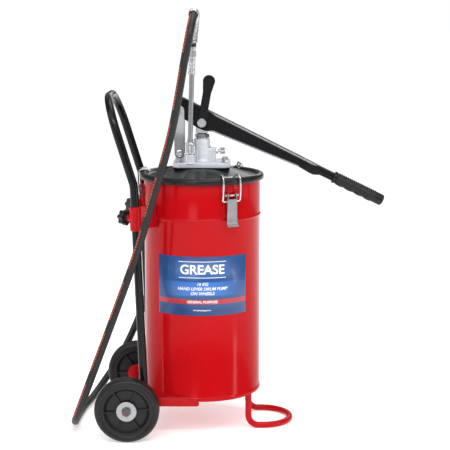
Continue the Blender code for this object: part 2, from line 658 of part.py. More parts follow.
# ---- trolley ------------------------------------------------------------------------------
def make_wheel(side, label, root):
    """A wheel turned about its own axle; side is -1 for the near one and 1 for the far one."""
    half = WHEEL_WIDTH / 2
    flat_radius = WHEEL_RADIUS / math.cos(math.pi / WHEEL_SIDES)
    shoulder = flat_radius * 0.93
    floor = half - RECESS_DEPTH
    hub = half - HUB_INSET
    profile = [
        (AXLE_RADIUS + TOUCH_GAP, hub), (HUB_RADIUS, hub), (HUB_RADIUS, floor),
        (RECESS_RADIUS - 0.0030, floor),
        (RECESS_RADIUS, half - 0.0012), (shoulder, half), (flat_radius, half * 0.62),
        (flat_radius, -half * 0.62), (shoulder, -half), (RECESS_RADIUS, -half + 0.0012),
        (RECESS_RADIUS - 0.0030, -floor), (HUB_RADIUS, -floor), (HUB_RADIUS, -hub),
        (AXLE_RADIUS + TOUCH_GAP, -hub),
    ]
    at = (-AXLE_BACK, side * TRACK_HALF, WHEEL_RADIUS)
    axis = empty("wheel_axis_" + label, at, (math.pi / 2, 0, 0), root)
    wheel = turned("wheel_" + label, profile, WHEEL_SIDES, True)
    half_side = math.pi / WHEEL_SIDES
    ribs = []
    for rib in range(6):
        lug = block("rib_" + label, (HUB_RADIUS - 0.0010, -RIB_THICKNESS / 2, -half + HUB_INSET + 0.0012),
                    (RECESS_RADIUS + 0.0005, RIB_THICKNESS / 2, half - HUB_INSET - 0.0012))
        ribs.append(place(lug, axis, (0, 0, 0), (0, 0, math.radians(60 * rib + 5))))
    join(wheel, *ribs)
    as_part(place(wheel, axis, (0, 0, 0), (0, 0, half_side)), BLACK_PLASTIC)

    outer = HUB_OUTER + TOUCH_GAP
    washer = pin_between("hub_washer_" + label, (-AXLE_BACK, side * outer, WHEEL_RADIUS),
                         (-AXLE_BACK, side * (outer + WASHER_SHEET), WHEEL_RADIUS),
                         WASHER_RADIUS, ROUND_STEPS)
    hole = pin_between("washer_hole_" + label, (-AXLE_BACK, side * (outer - 0.01), WHEEL_RADIUS),
                       (-AXLE_BACK, side * (outer + 0.01), WHEEL_RADIUS), AXLE_BOLT_RADIUS + TOUCH_GAP, 12)
    cut(washer, with_parent(hole, root))
    as_part(with_parent(washer, root), ZINC)
    head_face = side * (outer + WASHER_SHEET + TOUCH_GAP)
    bolt("axle_bolt_" + label, DARK_STEEL, root, (-AXLE_BACK, head_face, WHEEL_RADIUS),
         (-AXLE_BACK, side * (HUB_OUTER - 0.0007), WHEEL_RADIUS),
         AXLE_BOLT_RADIUS, AXLE_BOLT_HEAD, BOLT_HEAD_HEIGHT)


def make_trolley(root):
    for side, label in ((-1, "near"), (1, "far")):
        make_wheel(side, label, root)
    axle_half = HUB_OUTER - 0.0010
    axle = pin_between("axle", (-AXLE_BACK, -axle_half, WHEEL_RADIUS), (-AXLE_BACK, axle_half, WHEEL_RADIUS),
                       AXLE_RADIUS, ROUND_STEPS)
    as_part(with_parent(axle, root), DARK_STEEL)

    lip_bottom = BRACKET_TOP - BRACKET_LIP
    eye = (-AXLE_BACK, WHEEL_RADIUS)
    outline = arc(eye, BRACKET_EYE_RADIUS, 80, 290, 12)
    outline += [(0.0290 - DRUM_RADIUS, lip_bottom), (BRACKET_FRONT - 0.0030, lip_bottom),
                (BRACKET_FRONT, lip_bottom + 0.0030)]
    outline += [(BRACKET_FRONT, BRACKET_TOP), (-DRUM_RADIUS - 0.0010, BRACKET_TOP)]
    bracket = block("axle_bracket", (0.0010 - DRUM_RADIUS, -BRACKET_HALF, BRACKET_TOP - BRACKET_SHEET),
                    (BRACKET_FRONT, BRACKET_HALF, BRACKET_TOP))
    tools = []
    for side in (-1, 1):
        low, high = sorted((side * BRACKET_HALF, side * (BRACKET_HALF - BRACKET_SHEET)))
        tools.append(with_parent(outline_plate("side_plate", outline, low, high), root))
    join(bracket, *tools)
    axle_hole = pin_between("axle_hole", (-AXLE_BACK, -0.2, WHEEL_RADIUS), (-AXLE_BACK, 0.2, WHEEL_RADIUS),
                            AXLE_RADIUS + TOUCH_GAP, ROUND_STEPS)
    cut(bracket, with_parent(axle_hole, root))
    as_part(place(bracket, root), RED_PAINT)

    flat_roll = math.pi / 12
    rod_radius = FOOT_ROD_RADIUS / math.cos(flat_roll)
    loop_centre = FOOT_REACH - FOOT_HALF
    floor_run = arc((loop_centre, 0), FOOT_HALF, -90, 90, 16)
    near_leg = rounded_path([(FOOT_X, -FOOT_HALF, DRUM_BOTTOM - TOUCH_GAP),
                             (FOOT_X, -FOOT_HALF, FOOT_ROD_RADIUS),
                             (loop_centre - 0.0005, -FOOT_HALF, FOOT_ROD_RADIUS)], [FOOT_BEND])
    path = near_leg[:-1] + [Vector((x, y, FOOT_ROD_RADIUS)) for x, y in floor_run]
    path += [Vector((point.x, -point.y, point.z)) for point in near_leg[-2::-1]]
    foot = bent_rod("front_foot", path, rod_radius, 4, flat_roll)
    as_part(place(foot, root), RED_PAINT)


def make_push_handle(root):
    """A bent tube that slides in two clamps along the lean of its lower legs."""
    foot_height = BRACKET_TOP + TOUCH_GAP
    kink_x = HANDLE_FOOT_X - math.tan(HANDLE_LEAN) * (HANDLE_KINK_HEIGHT - foot_height)
    top_x = kink_x - math.tan(HANDLE_UPPER_LEAN) * (HANDLE_TOP - HANDLE_KINK_HEIGHT)
    corners = [(HANDLE_FOOT_X, -HANDLE_HALF, foot_height + 0.0006),
               (kink_x, -HANDLE_HALF, HANDLE_KINK_HEIGHT),
               (top_x, -HANDLE_HALF, HANDLE_TOP), (top_x, HANDLE_HALF, HANDLE_TOP),
               (kink_x, HANDLE_HALF, HANDLE_KINK_HEIGHT), (HANDLE_FOOT_X, HANDLE_HALF, foot_height + 0.0006)]
    radii = [HANDLE_KINK_BEND, HANDLE_CORNER, HANDLE_CORNER, HANDLE_KINK_BEND]
    handle = bent_rod("push_handle", rounded_path(corners, radii, 6), HANDLE_TUBE_RADIUS, 3)
    as_part(place(handle, root), BLACK_ENAMEL)
    clamp_x = HANDLE_FOOT_X - math.tan(HANDLE_LEAN) * (CLAMP_MIDDLE - foot_height)
    for side, label in ((-1, "near"), (1, "far")):
        make_clamp(side, label, clamp_x, root)


def make_clamp(side, label, clamp_x, root):
    frame = empty("clamp_frame_" + label, (clamp_x, side * HANDLE_HALF, CLAMP_MIDDLE), (0, -HANDLE_LEAN, 0),
                  root)
    half = CLAMP_HEIGHT / 2
    bore = HANDLE_TUBE_RADIUS + SLIDE_GAP
    clamp = drum_shape("handle_clamp_" + label, bore + CLAMP_SHEET, -half, half)
    inward = math.atan2(-side * HANDLE_HALF, -clamp_x)
    web_length = math.hypot(clamp_x, HANDLE_HALF) - DRUM_RADIUS + 0.004
    web_half = half - 0.0010
    web = place(block("clamp_web_" + label, (0, -CLAMP_SHEET, -web_half),
                      (web_length, CLAMP_SHEET, web_half)),
                frame, (0, 0, 0), (0, 0, inward))
    knob_way = math.radians(180 + side * 45)
    knob_axis = empty("knob_axis_" + label, (0, 0, 0), (0, math.pi / 2, knob_way), frame)
    nut_end = HANDLE_TUBE_RADIUS + WELD_NUT_LENGTH
    nut = place(drum_shape("weld_nut_" + label, WELD_NUT_RADIUS, bore, nut_end, 6), knob_axis)
    join(clamp, web, nut)
    tube_way = place(drum_shape("tube_way_" + label, bore, -0.1, 0.1), frame)
    stud_way = place(drum_shape("stud_way_" + label, STUD_RADIUS + TOUCH_GAP, 0.0060, 0.0300, 12), knob_axis)
    drum_side = drum_shape("drum_side_" + label, DRUM_RADIUS + BEAD_PROUD + TOUCH_GAP,
                           CLAMP_MIDDLE - 0.1, CLAMP_MIDDLE + 0.1, FINE_STEPS)
    cut(clamp, tube_way, stud_way, with_parent(drum_side, root))
    as_part(place(clamp, frame), RED_PAINT)

    lobes = []
    for lobe in range(KNOB_LOBES * 4):
        reach = KNOB_RADIUS * (0.90 + 0.10 * math.cos(math.tau * lobe / 4))
        angle = math.tau * lobe / (KNOB_LOBES * 4)
        lobes.append((reach * math.cos(angle), reach * math.sin(angle)))
    knob = outline_plate("clamp_knob_" + label, lobes, -KNOB_THICKNESS / 2, KNOB_THICKNESS / 2)
    knob.data.transform(Matrix.Translation((0, 0, KNOB_FACE + KNOB_THICKNESS / 2))
                        @ Matrix.Rotation(-math.pi / 2, 4, "X"))
    stud = drum_shape("stud_" + label, STUD_RADIUS, HANDLE_TUBE_RADIUS + TOUCH_GAP * 2, KNOB_FACE + 0.004, 12)
    collar = drum_shape("knob_collar_" + label, 0.0065, KNOB_FACE - 0.0030, KNOB_FACE + 0.001, 12)
    join(knob, place(stud, knob_axis), place(collar, knob_axis))
    as_part(place(knob, knob_axis), BLACK_PLASTIC)


# ---- pump head ----------------------------------------------------------------------------
def make_pump_head(root):
    plate_corner = [(PLATE_HALF_X - PLATE_CHAMFER, -PLATE_HALF_Y),
                    (PLATE_HALF_X, -PLATE_HALF_Y + PLATE_CHAMFER)]
    outline = plate_corner + [(x, -y) for x, y in plate_corner[::-1]]
    outline += [(-x, -y) for x, y in plate_corner] + [(-x, y) for x, y in plate_corner[::-1]]
    body = outline_plate("pump_body", outline, 0, PLATE_THICKNESS)
    body.data.transform(Matrix.Translation((0, 0, PLATE_TOP)) @ Matrix.Rotation(math.pi / 2, 4, "X")
                        @ Matrix.Scale(-1, 4, (0, 0, 1)) @ Matrix.Scale(-1, 4, (0, 1, 0)))
    sink = 0.0010
    barrel = drum_shape("barrel", BARREL_RADIUS, PLATE_TOP - sink, BARREL_TOP)
    nozzle_boss = place(drum_shape("nozzle_boss", BOSS_RADIUS, PLATE_TOP - sink, PLATE_TOP + BOSS_HEIGHT, 20),
                        root, (NOZZLE_X, NOZZLE_Y, 0))
    side_boss = block("side_boss", (0.0050, -0.0110, PLATE_TOP - sink),
                      (SIDE_BOSS_X, 0.0110, PLATE_TOP + 0.0265))
    outlet_boss = pin_between("outlet_boss", (0, 0.0100, OUTLET_Z), (0, OUTLET_BOSS_END, OUTLET_Z),
                              OUTLET_HEX_RADIUS, 20)
    lug_outline = [(LINK_X - 0.0095, PLATE_TOP - sink), (LINK_X + 0.0095, PLATE_TOP - sink)]
    lug_outline += arc((LINK_X, LINK_FOOT_HEIGHT), 0.0080, 0, 180, 8)
    link_lug = outline_plate("link_lug", lug_outline, -LUG_HALF, LUG_HALF)
    join(body, *[with_parent(tool, root) for tool in (barrel, side_boss, outlet_boss, link_lug)], nozzle_boss)
    bore = drum_shape("barrel_bore", BARREL_BORE, PLATE_BOTTOM - 0.01, BARREL_TOP + 0.01, 20)
    outlet_bore = pin_between("outlet_bore", (0, 0.0060, OUTLET_Z), (0, 0.0400, OUTLET_Z), 0.0035, 12)
    link_hole = pin_between("link_hole", (LINK_X, -0.03, LINK_FOOT_HEIGHT), (LINK_X, 0.03, LINK_FOOT_HEIGHT),
                            BOLT_RADIUS + TOUCH_GAP, 12)
    valve_hole = pin_between("valve_hole", (0.0200, 0, VALVE_Z), (0.0400, 0, VALVE_Z),
                             VALVE_STEM_RADIUS + TOUCH_GAP, 12)
    cut(body, *[with_parent(tool, root) for tool in (bore, outlet_bore, link_hole, valve_hole)])
    for x in (-BASE_BOLT_X, BASE_BOLT_X):
        for y in (-BASE_BOLT_Y, BASE_BOLT_Y):
            bolt_way = drum_shape("bolt_way", BASE_BOLT_RADIUS + TOUCH_GAP, PLATE_BOTTOM - 0.01,
                                  PLATE_TOP + 0.01, 12)
            cut(body, place(bolt_way, root, (x, y, 0)))
    as_part(place(body, root), CAST_ALLOY)
    number = 0
    for x in (-BASE_BOLT_X, BASE_BOLT_X):
        for y in (-BASE_BOLT_Y, BASE_BOLT_Y):
            number += 1
            bolt("base_bolt_" + str(number), ZINC, root, (x, y, PLATE_TOP + TOUCH_GAP),
                 (x, y, PLATE_BOTTOM + 0.0005),
                 BASE_BOLT_RADIUS, BASE_BOLT_HEAD, BASE_BOLT_HEAD_HEIGHT)

    neck = BARREL_TOP + TOUCH_GAP
    gland = drum_shape("gland_nut", GLAND_HEX_RADIUS, neck + GLAND_NECK_HEIGHT, GLAND_TOP, 6)
    soften(gland, 0.0006)
    gland_neck = drum_shape("gland_neck", GLAND_NECK_RADIUS, neck, neck + GLAND_NECK_HEIGHT + sink, 20)
    gland_way = drum_shape("gland_way", ROD_RADIUS + SLIDE_GAP, neck - 0.01, GLAND_TOP + 0.01, 20)
    join(gland, with_parent(gland_neck, root))
    cut(gland, with_parent(gland_way, root))
    as_part(place(gland, root, (0, 0, 0)), ZINC)

    valve_face = SIDE_BOSS_X + TOUCH_GAP
    stem_end = valve_face + VALVE_STEM_LENGTH
    valve = hex_between("vent_valve", (valve_face, 0, VALVE_Z), (valve_face + VALVE_HEX_LENGTH, 0, VALVE_Z),
                        VALVE_HEX_RADIUS)
    stem = pin_between("valve_stem", (0.0210, 0, VALVE_Z), (stem_end, 0, VALVE_Z), VALVE_STEM_RADIUS, 12)
    join(valve, with_parent(stem, root))
    as_part(with_parent(valve, root), ZINC)
    knob_face = stem_end + TOUCH_GAP
    knob = pin_between("vent_knob", (knob_face, 0, VALVE_Z), (knob_face + VENT_KNOB_LENGTH, 0, VALVE_Z),
                       VENT_KNOB_RADIUS, 14)
    as_part(with_parent(knob, root), ZINC)

    fitting_start = OUTLET_BOSS_END + TOUCH_GAP
    fitting = hex_between("outlet_fitting", (0, fitting_start, OUTLET_Z),
                          (0, fitting_start + OUTLET_HEX_LENGTH, OUTLET_Z), OUTLET_HEX_RADIUS)
    crimp = pin_between("outlet_crimp", (0, fitting_start + OUTLET_HEX_LENGTH - sink, OUTLET_Z),
                        (0, OUTLET_BOSS_END + OUTLET_LENGTH, OUTLET_Z), 0.0096, 16)
    join(fitting, with_parent(crimp, root))
    as_part(with_parent(fitting, root), ZINC)


def make_link(root):
    """The fork that carries the lever's fulcrum; its slot frees one pivot of the closed linkage."""
    pivot = empty("link_pivot", (LINK_X, 0, LINK_FOOT_HEIGHT), (0, 0, 0), root)
    rise = LEVER_PIVOT_HEIGHT + FULCRUM_RISE - LINK_FOOT_HEIGHT
    shift = FULCRUM_SLOT_SHIFT
    outline = arc((0, 0), 0.0098, 180, 360, 8) + arc((shift, rise), LINK_EYE_RADIUS, 0, 180, 8)
    inner = LEVER_HALF + TOUCH_GAP * 2
    outer = inner + LINK_SHEET
    link = outline_plate("fulcrum_link", outline, -outer, -inner)
    far_cheek = outline_plate("far_cheek", outline, inner, outer)
    web = block("link_web", (-0.0080, -outer + 0.001, LINK_WEB_LOW), (0.0080, outer - 0.001, LINK_WEB_HIGH))
    join(link, with_parent(far_cheek, pivot), with_parent(web, pivot))
    bolt_hole = pin_between("link_bolt_hole", (0, -0.03, 0), (0, 0.03, 0), BOLT_RADIUS + TOUCH_GAP, 12)
    slot_rise = FULCRUM_PIN_RADIUS + FULCRUM_SLOT_RISE
    run = FULCRUM_SLOT_HALF - slot_rise
    slot_outline = arc((shift + run, rise), slot_rise, -90, 90, 6)
    slot_outline += arc((shift - run, rise), slot_rise, 90, 270, 6)
    slot = outline_plate("fulcrum_slot", slot_outline, -0.03, 0.03)
    cut(link, with_parent(bolt_hole, pivot), with_parent(slot, pivot))
    as_part(place(link, pivot), CAST_ALLOY)
    bolt("link_foot_bolt", ZINC, root, (LINK_X, -outer - TOUCH_GAP, LINK_FOOT_HEIGHT),
         (LINK_X, outer + 0.0050, LINK_FOOT_HEIGHT), BOLT_RADIUS, BOLT_HEAD_RADIUS, 0.0045,
         (LINK_X, outer + TOUCH_GAP, LINK_FOOT_HEIGHT))


def make_rod(root):
    carrier = empty("rod_carrier", (0, 0, LEVER_PIVOT_HEIGHT), (0, 0, 0), root)
    eye_bottom = GLAND_TOP + 0.0018 - LEVER_PIVOT_HEIGHT
    eye = block("rod_eye", (-ROD_EYE_WIDTH / 2, -ROD_EYE_DEPTH / 2, eye_bottom),
                (ROD_EYE_WIDTH / 2, ROD_EYE_DEPTH / 2, 0.0100), 0.0020)
    bolt_hole = pin_between("eye_bolt_hole", (0, -0.03, 0), (0, 0.03, 0), BOLT_RADIUS + TOUCH_GAP, 12)
    cut(eye, with_parent(bolt_hole, carrier))
    as_part(place(eye, carrier), BLACK_ENAMEL)
    rod_bottom = PISTON_BOTTOM + PISTON_LENGTH - LEVER_PIVOT_HEIGHT + TOUCH_GAP
    rod = drum_shape("piston_rod", ROD_RADIUS, rod_bottom, eye_bottom - TOUCH_GAP, 20)
    as_part(place(rod, carrier), DARK_STEEL)
    piston_base = PISTON_BOTTOM - LEVER_PIVOT_HEIGHT
    piston = drum_shape("piston", PUMP_TUBE_BORE - SLIDE_GAP, piston_base, piston_base + PISTON_LENGTH)
    as_part(place(piston, carrier), DARK_STEEL)
    lever_out = LEVER_HALF + TOUCH_GAP * 2
    handle_out = lever_out + STEADY_THICKNESS
    bolt("rod_bolt", ZINC, carrier, (0, -handle_out - TOUCH_GAP, 0), (0, lever_out + 0.0055, 0),
         BOLT_RADIUS, BOLT_HEAD_RADIUS, BOLT_HEAD_HEIGHT, (0, lever_out + TOUCH_GAP, 0))
    make_lever(carrier)
    make_steadying_handle(carrier, -lever_out)


def make_lever(carrier):
    """A pressed channel, open below, that narrows to a tube with a hand grip."""
    pivot = empty("lever_pivot", (0, 0, 0), (0, LEVER_SLOPE, 0), carrier)
    tail_bottom = [(LEVER_TAIL, 0.0010), (LEVER_TAIL + 0.0060, -0.0060), (-0.0350, -0.0085),
                   (-0.0030, LEVER_BOTTOM), (0.0100, LEVER_BOTTOM + 0.0006), LEVER_LIP_START]
    nose = [(LEVER_CHANNEL_END, LEVER_BOTTOM_END), (LEVER_CHANNEL_END + 0.0080, LEVER_BOTTOM_END - 0.0013),
            (LEVER_CHANNEL_END + 0.0320, LEVER_BOTTOM_END - 0.0028),
            (LEVER_CHANNEL_END + 0.0440, NECK_LINE - NECK_RADIUS)]
    end = [(LEVER_CHANNEL_END + 0.0440, NECK_LINE + NECK_RADIUS), (LEVER_CHANNEL_END + 0.0300, LEVER_TOP_END)]
    outline = tail_bottom + nose + end + [(LEVER_TAIL + 0.0060, LEVER_TOP), (LEVER_TAIL, LEVER_TOP - 0.0080)]
    lever = soften(outline_plate("lever", outline, -LEVER_HALF, LEVER_HALF), 0.0025)
    inside = [(LEVER_TAIL - 0.01, LEVER_BOTTOM - 0.02), (LEVER_CHANNEL_END - 0.0060, LEVER_BOTTOM - 0.02),
              (LEVER_CHANNEL_END - 0.0060, LEVER_BOTTOM_END + 0.0060),
              (LEVER_CHANNEL_END - 0.0240, LEVER_TOP_END - LEVER_SHEET),
              (LEVER_TAIL - 0.01, LEVER_TOP - LEVER_SHEET)]
    room = LEVER_HALF - LEVER_SHEET
    hollow = outline_plate("lever_hollow", inside, -room, room)
    cut(lever, with_parent(hollow, pivot))
    tools = []
    for side in (-1, 1):
        low, high = sorted((side * (LEVER_HALF - 0.001), side * (LEVER_HALF + LEVER_LIP)))
        lip_outline = [(LEVER_LIP_START[0] + 0.0010, LEVER_LIP_START[1] + 0.0005),
                       (LEVER_CHANNEL_END - 0.0010, LEVER_BOTTOM_END + 0.0004),
                       (LEVER_CHANNEL_END - 0.0010, LEVER_BOTTOM_END + LEVER_SHEET),
                       (LEVER_LIP_START[0] + 0.0010, LEVER_LIP_START[1] + LEVER_SHEET)]
        lip = outline_plate("lever_lip", lip_outline, low, high)
        tools.append(with_parent(lip, pivot))
    tube = pin_between("lever_tube", (LEVER_CHANNEL_END, 0, NECK_LINE), (GRIP_END - 0.0060, 0, NECK_LINE),
                       LEVER_TUBE_RADIUS, 16)
    tools.append(with_parent(tube, pivot))
    join(lever, *tools)
    rod_hole = pin_between("lever_rod_hole", (0, -0.03, 0), (0, 0.03, 0), BOLT_RADIUS + TOUCH_GAP, 12)
    pin_at = Matrix.Rotation(-LEVER_SLOPE, 3, "Y") @ Vector((FULCRUM_X, 0, FULCRUM_RISE))
    pin_hole = pin_between("lever_pin_hole", (pin_at.x, -0.03, pin_at.z), (pin_at.x, 0.03, pin_at.z),
                           FULCRUM_PIN_RADIUS + TOUCH_GAP, 12)
    cut(lever, with_parent(rod_hole, pivot), with_parent(pin_hole, pivot))
    as_part(place(lever, pivot), BLACK_ENAMEL)

    inner = LEVER_HALF + TOUCH_GAP * 2
    outer = inner + LINK_SHEET + TOUCH_GAP
    head_height = 0.0025
    pin = pin_between("fulcrum_pin", (pin_at.x, -outer - head_height, pin_at.z),
                      (pin_at.x, outer + head_height, pin_at.z),
                      FULCRUM_PIN_RADIUS, 12)
    heads = []
    for side in (-1, 1):
        heads.append(pin_between("pin_head", (pin_at.x, side * outer, pin_at.z),
                                 (pin_at.x, side * (outer + head_height), pin_at.z), 0.0062, 16))
    join(pin, *[with_parent(head, pivot) for head in heads])
    as_part(with_parent(pin, pivot), ZINC)

    grip_start = (GRIP_START, 0, NECK_LINE)
    grip = pin_between("lever_grip", grip_start, (GRIP_END, 0, NECK_LINE), GRIP_RADIUS, ROUND_STEPS)
    soften(grip, 0.0020)
    grip_way = pin_between("grip_way", (GRIP_START - 0.01, 0, NECK_LINE), (GRIP_END - 0.0050, 0, NECK_LINE),
                           LEVER_TUBE_RADIUS + TOUCH_GAP, 16)
    cut(grip, with_parent(grip_way, pivot))
    as_part(with_parent(grip, pivot), BLACK_RUBBER)


def make_steadying_handle(carrier, back):
    pivot = empty("steadying_pivot", (0, 0, 0), (0, STEADY_LEAN, 0), carrier)
    spoon = STEADY_LENGTH - STEADY_SPOON_HALF
    outline = arc((0, 0), STEADY_FOOT_RADIUS, 130, 410, 12)
    outline += [(STEADY_NECK_HALF, 0.0180), (STEADY_NECK_HALF, STEADY_LENGTH * 0.55)]
    outline += arc((0, spoon), STEADY_SPOON_HALF, -25, 205, 12)
    outline += [(-STEADY_NECK_HALF, STEADY_LENGTH * 0.55), (-STEADY_NECK_HALF, 0.0180)]
    handle = outline_plate("steadying_handle", outline, back - STEADY_THICKNESS, back)
    soften(handle, 0.0015)
    bolt_hole = pin_between("steady_bolt_hole", (0, -0.03, 0), (0, 0.03, 0), BOLT_RADIUS + TOUCH_GAP, 12)
    cut(handle, with_parent(bolt_hole, pivot))
    as_part(place(handle, pivot), BLACK_ENAMEL)


# ---- nozzle and hose ----------------------------------------------------------------------
def make_nozzle_and_hose(root):
    coupler_bottom = PLATE_TOP + BOSS_HEIGHT + TOUCH_GAP
    coupler_top = coupler_bottom + COUPLER_HEIGHT
    coupler = drum_shape("nozzle_coupler", COUPLER_RADIUS, coupler_bottom, coupler_top, 20)
    soften(coupler, 0.0010)
    as_part(place(coupler, root, (NOZZLE_X, NOZZLE_Y, 0)), ZINC)
    route = [Vector(HOSE_ROUTE[0])] + smooth_route(HOSE_ROUTE[1:], HOSE_SAMPLES)
    hose_start = Vector(HOSE_ROUTE[0])
    tube_bottom = Vector((NOZZLE_X, NOZZLE_Y, coupler_top + TOUCH_GAP))
    along = (hose_start - tube_bottom).normalized()
    tube_top = hose_start - along * SWIVEL_LENGTH
    nozzle = pin_between("nozzle_tube", tube_bottom + along * 0.0002, tube_top, NOZZLE_TUBE_RADIUS, 16)
    as_part(with_parent(nozzle, root), ZINC)
    swivel_start = tube_top + along * TOUCH_GAP
    swivel_end = hose_start - along * TOUCH_GAP
    swivel = pin_between("hose_swivel", swivel_start, swivel_start.lerp(swivel_end, 0.52), FERRULE_RADIUS, 16)
    hex_part = hex_between("swivel_hex", swivel_start.lerp(swivel_end, 0.50), swivel_end,
                           FERRULE_RADIUS * 1.12)
    join(swivel, with_parent(hex_part, root))
    as_part(with_parent(swivel, root), ZINC)

    hose = bent_rod("hose", route, HOSE_RADIUS, 2)
    as_part(place(hose, root), BLACK_RUBBER)
    guard = bent_rod("spring_guard", route[1:SPRING_POINTS], SPRING_RADIUS, 3)
    hose_way = bent_rod("hose_way", route[0:SPRING_POINTS + 1], HOSE_RADIUS + SLIDE_GAP * 1.5, 3)
    cut(guard, with_parent(hose_way, root))
    as_part(place(guard, root), ZINC)


# ---- inside the drum ----------------------------------------------------------------------
def make_inside(root):
    tube = sleeve("pump_tube", PUMP_TUBE_RADIUS, PUMP_TUBE_BORE, PUMP_TUBE_BOTTOM, PLATE_BOTTOM - TOUCH_GAP)
    as_part(place(tube, root), ZINC)
    valve_top = PUMP_TUBE_BOTTOM - TOUCH_GAP
    valve = sleeve("foot_valve", PUMP_TUBE_RADIUS, FOOT_VALVE_BORE, valve_top - FOOT_VALVE_HEIGHT, valve_top)
    as_part(place(valve, root), DARK_STEEL)
    carrier = empty("follower_carrier", (0, 0, FOLLOWER_HEIGHT), (0, 0, 0), root)
    plate_radius = DRUM_INSIDE - SEAL_THICKNESS - SLIDE_GAP * 3
    hub = PUMP_TUBE_RADIUS + SLIDE_GAP * 2
    profile = [(hub, 0.0090), (hub + 0.0040, 0.0090), (hub + 0.0040, FOLLOWER_SHEET),
               (plate_radius, FOLLOWER_SHEET),
               (plate_radius, 0), (hub, 0)]
    plate = turned("follower_plate", profile, DRUM_STEPS, True)
    as_part(place(plate, carrier), RED_PAINT)
    seal_out = DRUM_INSIDE - SLIDE_GAP
    seal = sleeve("follower_seal", seal_out, plate_radius + TOUCH_GAP, -0.0030, SEAL_HEIGHT - 0.0030,
                  DRUM_STEPS)
    as_part(place(seal, carrier), BLACK_RUBBER)


def centre_on_floor(root, left_out):
    """Move the model along X so that its footprint, without the hose, is centred on the origin."""
    bpy.context.view_layer.update()
    graph = bpy.context.evaluated_depsgraph_get()
    low, high = math.inf, -math.inf
    for piece in pump_parts.objects:
        if piece.type != "MESH" or piece.name in left_out:
            continue
        shape = piece.evaluated_get(graph)
        for corner in shape.data.vertices:
            x = (shape.matrix_world @ corner.co).x
            low, high = min(low, x), max(high, x)
    root.location.x = -(low + high) / 2


def build():
    root = empty("trolley_frame", (0, 0, 0))
    make_drum(root)
    make_lid(root)
    for number, heading in enumerate(LATCH_ANGLES, 1):
        make_latch(number, heading, root)
    make_trolley(root)
    make_push_handle(root)
    make_pump_head(root)
    make_link(root)
    make_rod(root)
    make_nozzle_and_hose(root)
    make_inside(root)
    centre_on_floor(root, ("hose", "spring_guard", "hose_swivel", "nozzle_tube", "nozzle_coupler"))


build()
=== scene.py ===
import json
import math

import bmesh
import bpy
from mathutils import Euler, Matrix, Vector


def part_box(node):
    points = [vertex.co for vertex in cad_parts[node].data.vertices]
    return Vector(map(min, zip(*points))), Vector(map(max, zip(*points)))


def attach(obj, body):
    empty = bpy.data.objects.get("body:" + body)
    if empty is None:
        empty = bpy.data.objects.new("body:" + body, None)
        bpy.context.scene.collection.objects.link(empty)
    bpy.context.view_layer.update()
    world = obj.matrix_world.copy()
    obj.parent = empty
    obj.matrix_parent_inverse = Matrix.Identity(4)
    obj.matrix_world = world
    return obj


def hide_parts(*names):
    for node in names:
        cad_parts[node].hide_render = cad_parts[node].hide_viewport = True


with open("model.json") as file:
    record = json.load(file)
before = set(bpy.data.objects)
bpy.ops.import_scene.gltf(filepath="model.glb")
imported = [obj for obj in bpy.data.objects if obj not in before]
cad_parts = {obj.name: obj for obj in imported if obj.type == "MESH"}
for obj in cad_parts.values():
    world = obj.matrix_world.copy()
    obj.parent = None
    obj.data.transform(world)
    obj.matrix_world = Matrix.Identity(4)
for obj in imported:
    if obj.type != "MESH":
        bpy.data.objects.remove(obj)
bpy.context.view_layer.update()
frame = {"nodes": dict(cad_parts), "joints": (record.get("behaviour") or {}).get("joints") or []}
print("frame loaded:", len(frame["nodes"]), "nodes")


# where things are: everything hangs off the drum's axis and the joints
drumLow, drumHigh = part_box("drum")
drumX = (drumLow.x + drumHigh.x) / 2
drum = {"bead": 0.0018, "wall": 0.0014, "beadBelowTop": 0.0741, "steps": 192}
drum["radius"] = (drumHigh.x - drumLow.x) / 2 - drum["bead"]
drumTop, drumBottom = drumHigh.z, drumLow.z


def jointAt(name):
    return Vector(next(j["pos_m"] for j in frame["joints"] if j["name"] == name))


def sizeOf(node):
    low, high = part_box(node)
    return low, high, (low + high) / 2


# camera and light
view = {"behindX": 0.0688, "back": -2.4863, "height": 0.8151, "turn": 0.71, "down": 9.41, "lens": 101.84,
        "shiftX": 0.008, "shiftY": -0.0048}


def makeCamera():
    data = bpy.data.cameras.new("camera")
    data.lens = view["lens"]
    data.shift_x, data.shift_y = view["shiftX"], view["shiftY"]
    data.clip_end = 50
    camera = bpy.data.objects.new("camera", data)
    bpy.context.scene.collection.objects.link(camera)
    camera.location = (drumX + view["behindX"], view["back"], view["height"])
    camera.rotation_euler = (math.radians(90 - view["down"]), 0, math.radians(view["turn"]))
    bpy.context.scene.camera = camera


def makeLight(name, kind, at, aim, **settings):
    data = bpy.data.lights.new(name, kind)
    for key, value in settings.items():
        setattr(data, key, value)
    lamp = bpy.data.objects.new(name, data)
    bpy.context.scene.collection.objects.link(lamp)
    lamp.location = at
    lamp.rotation_euler = (Vector(aim) - Vector(at)).to_track_quat("-Z", "Y").to_euler()


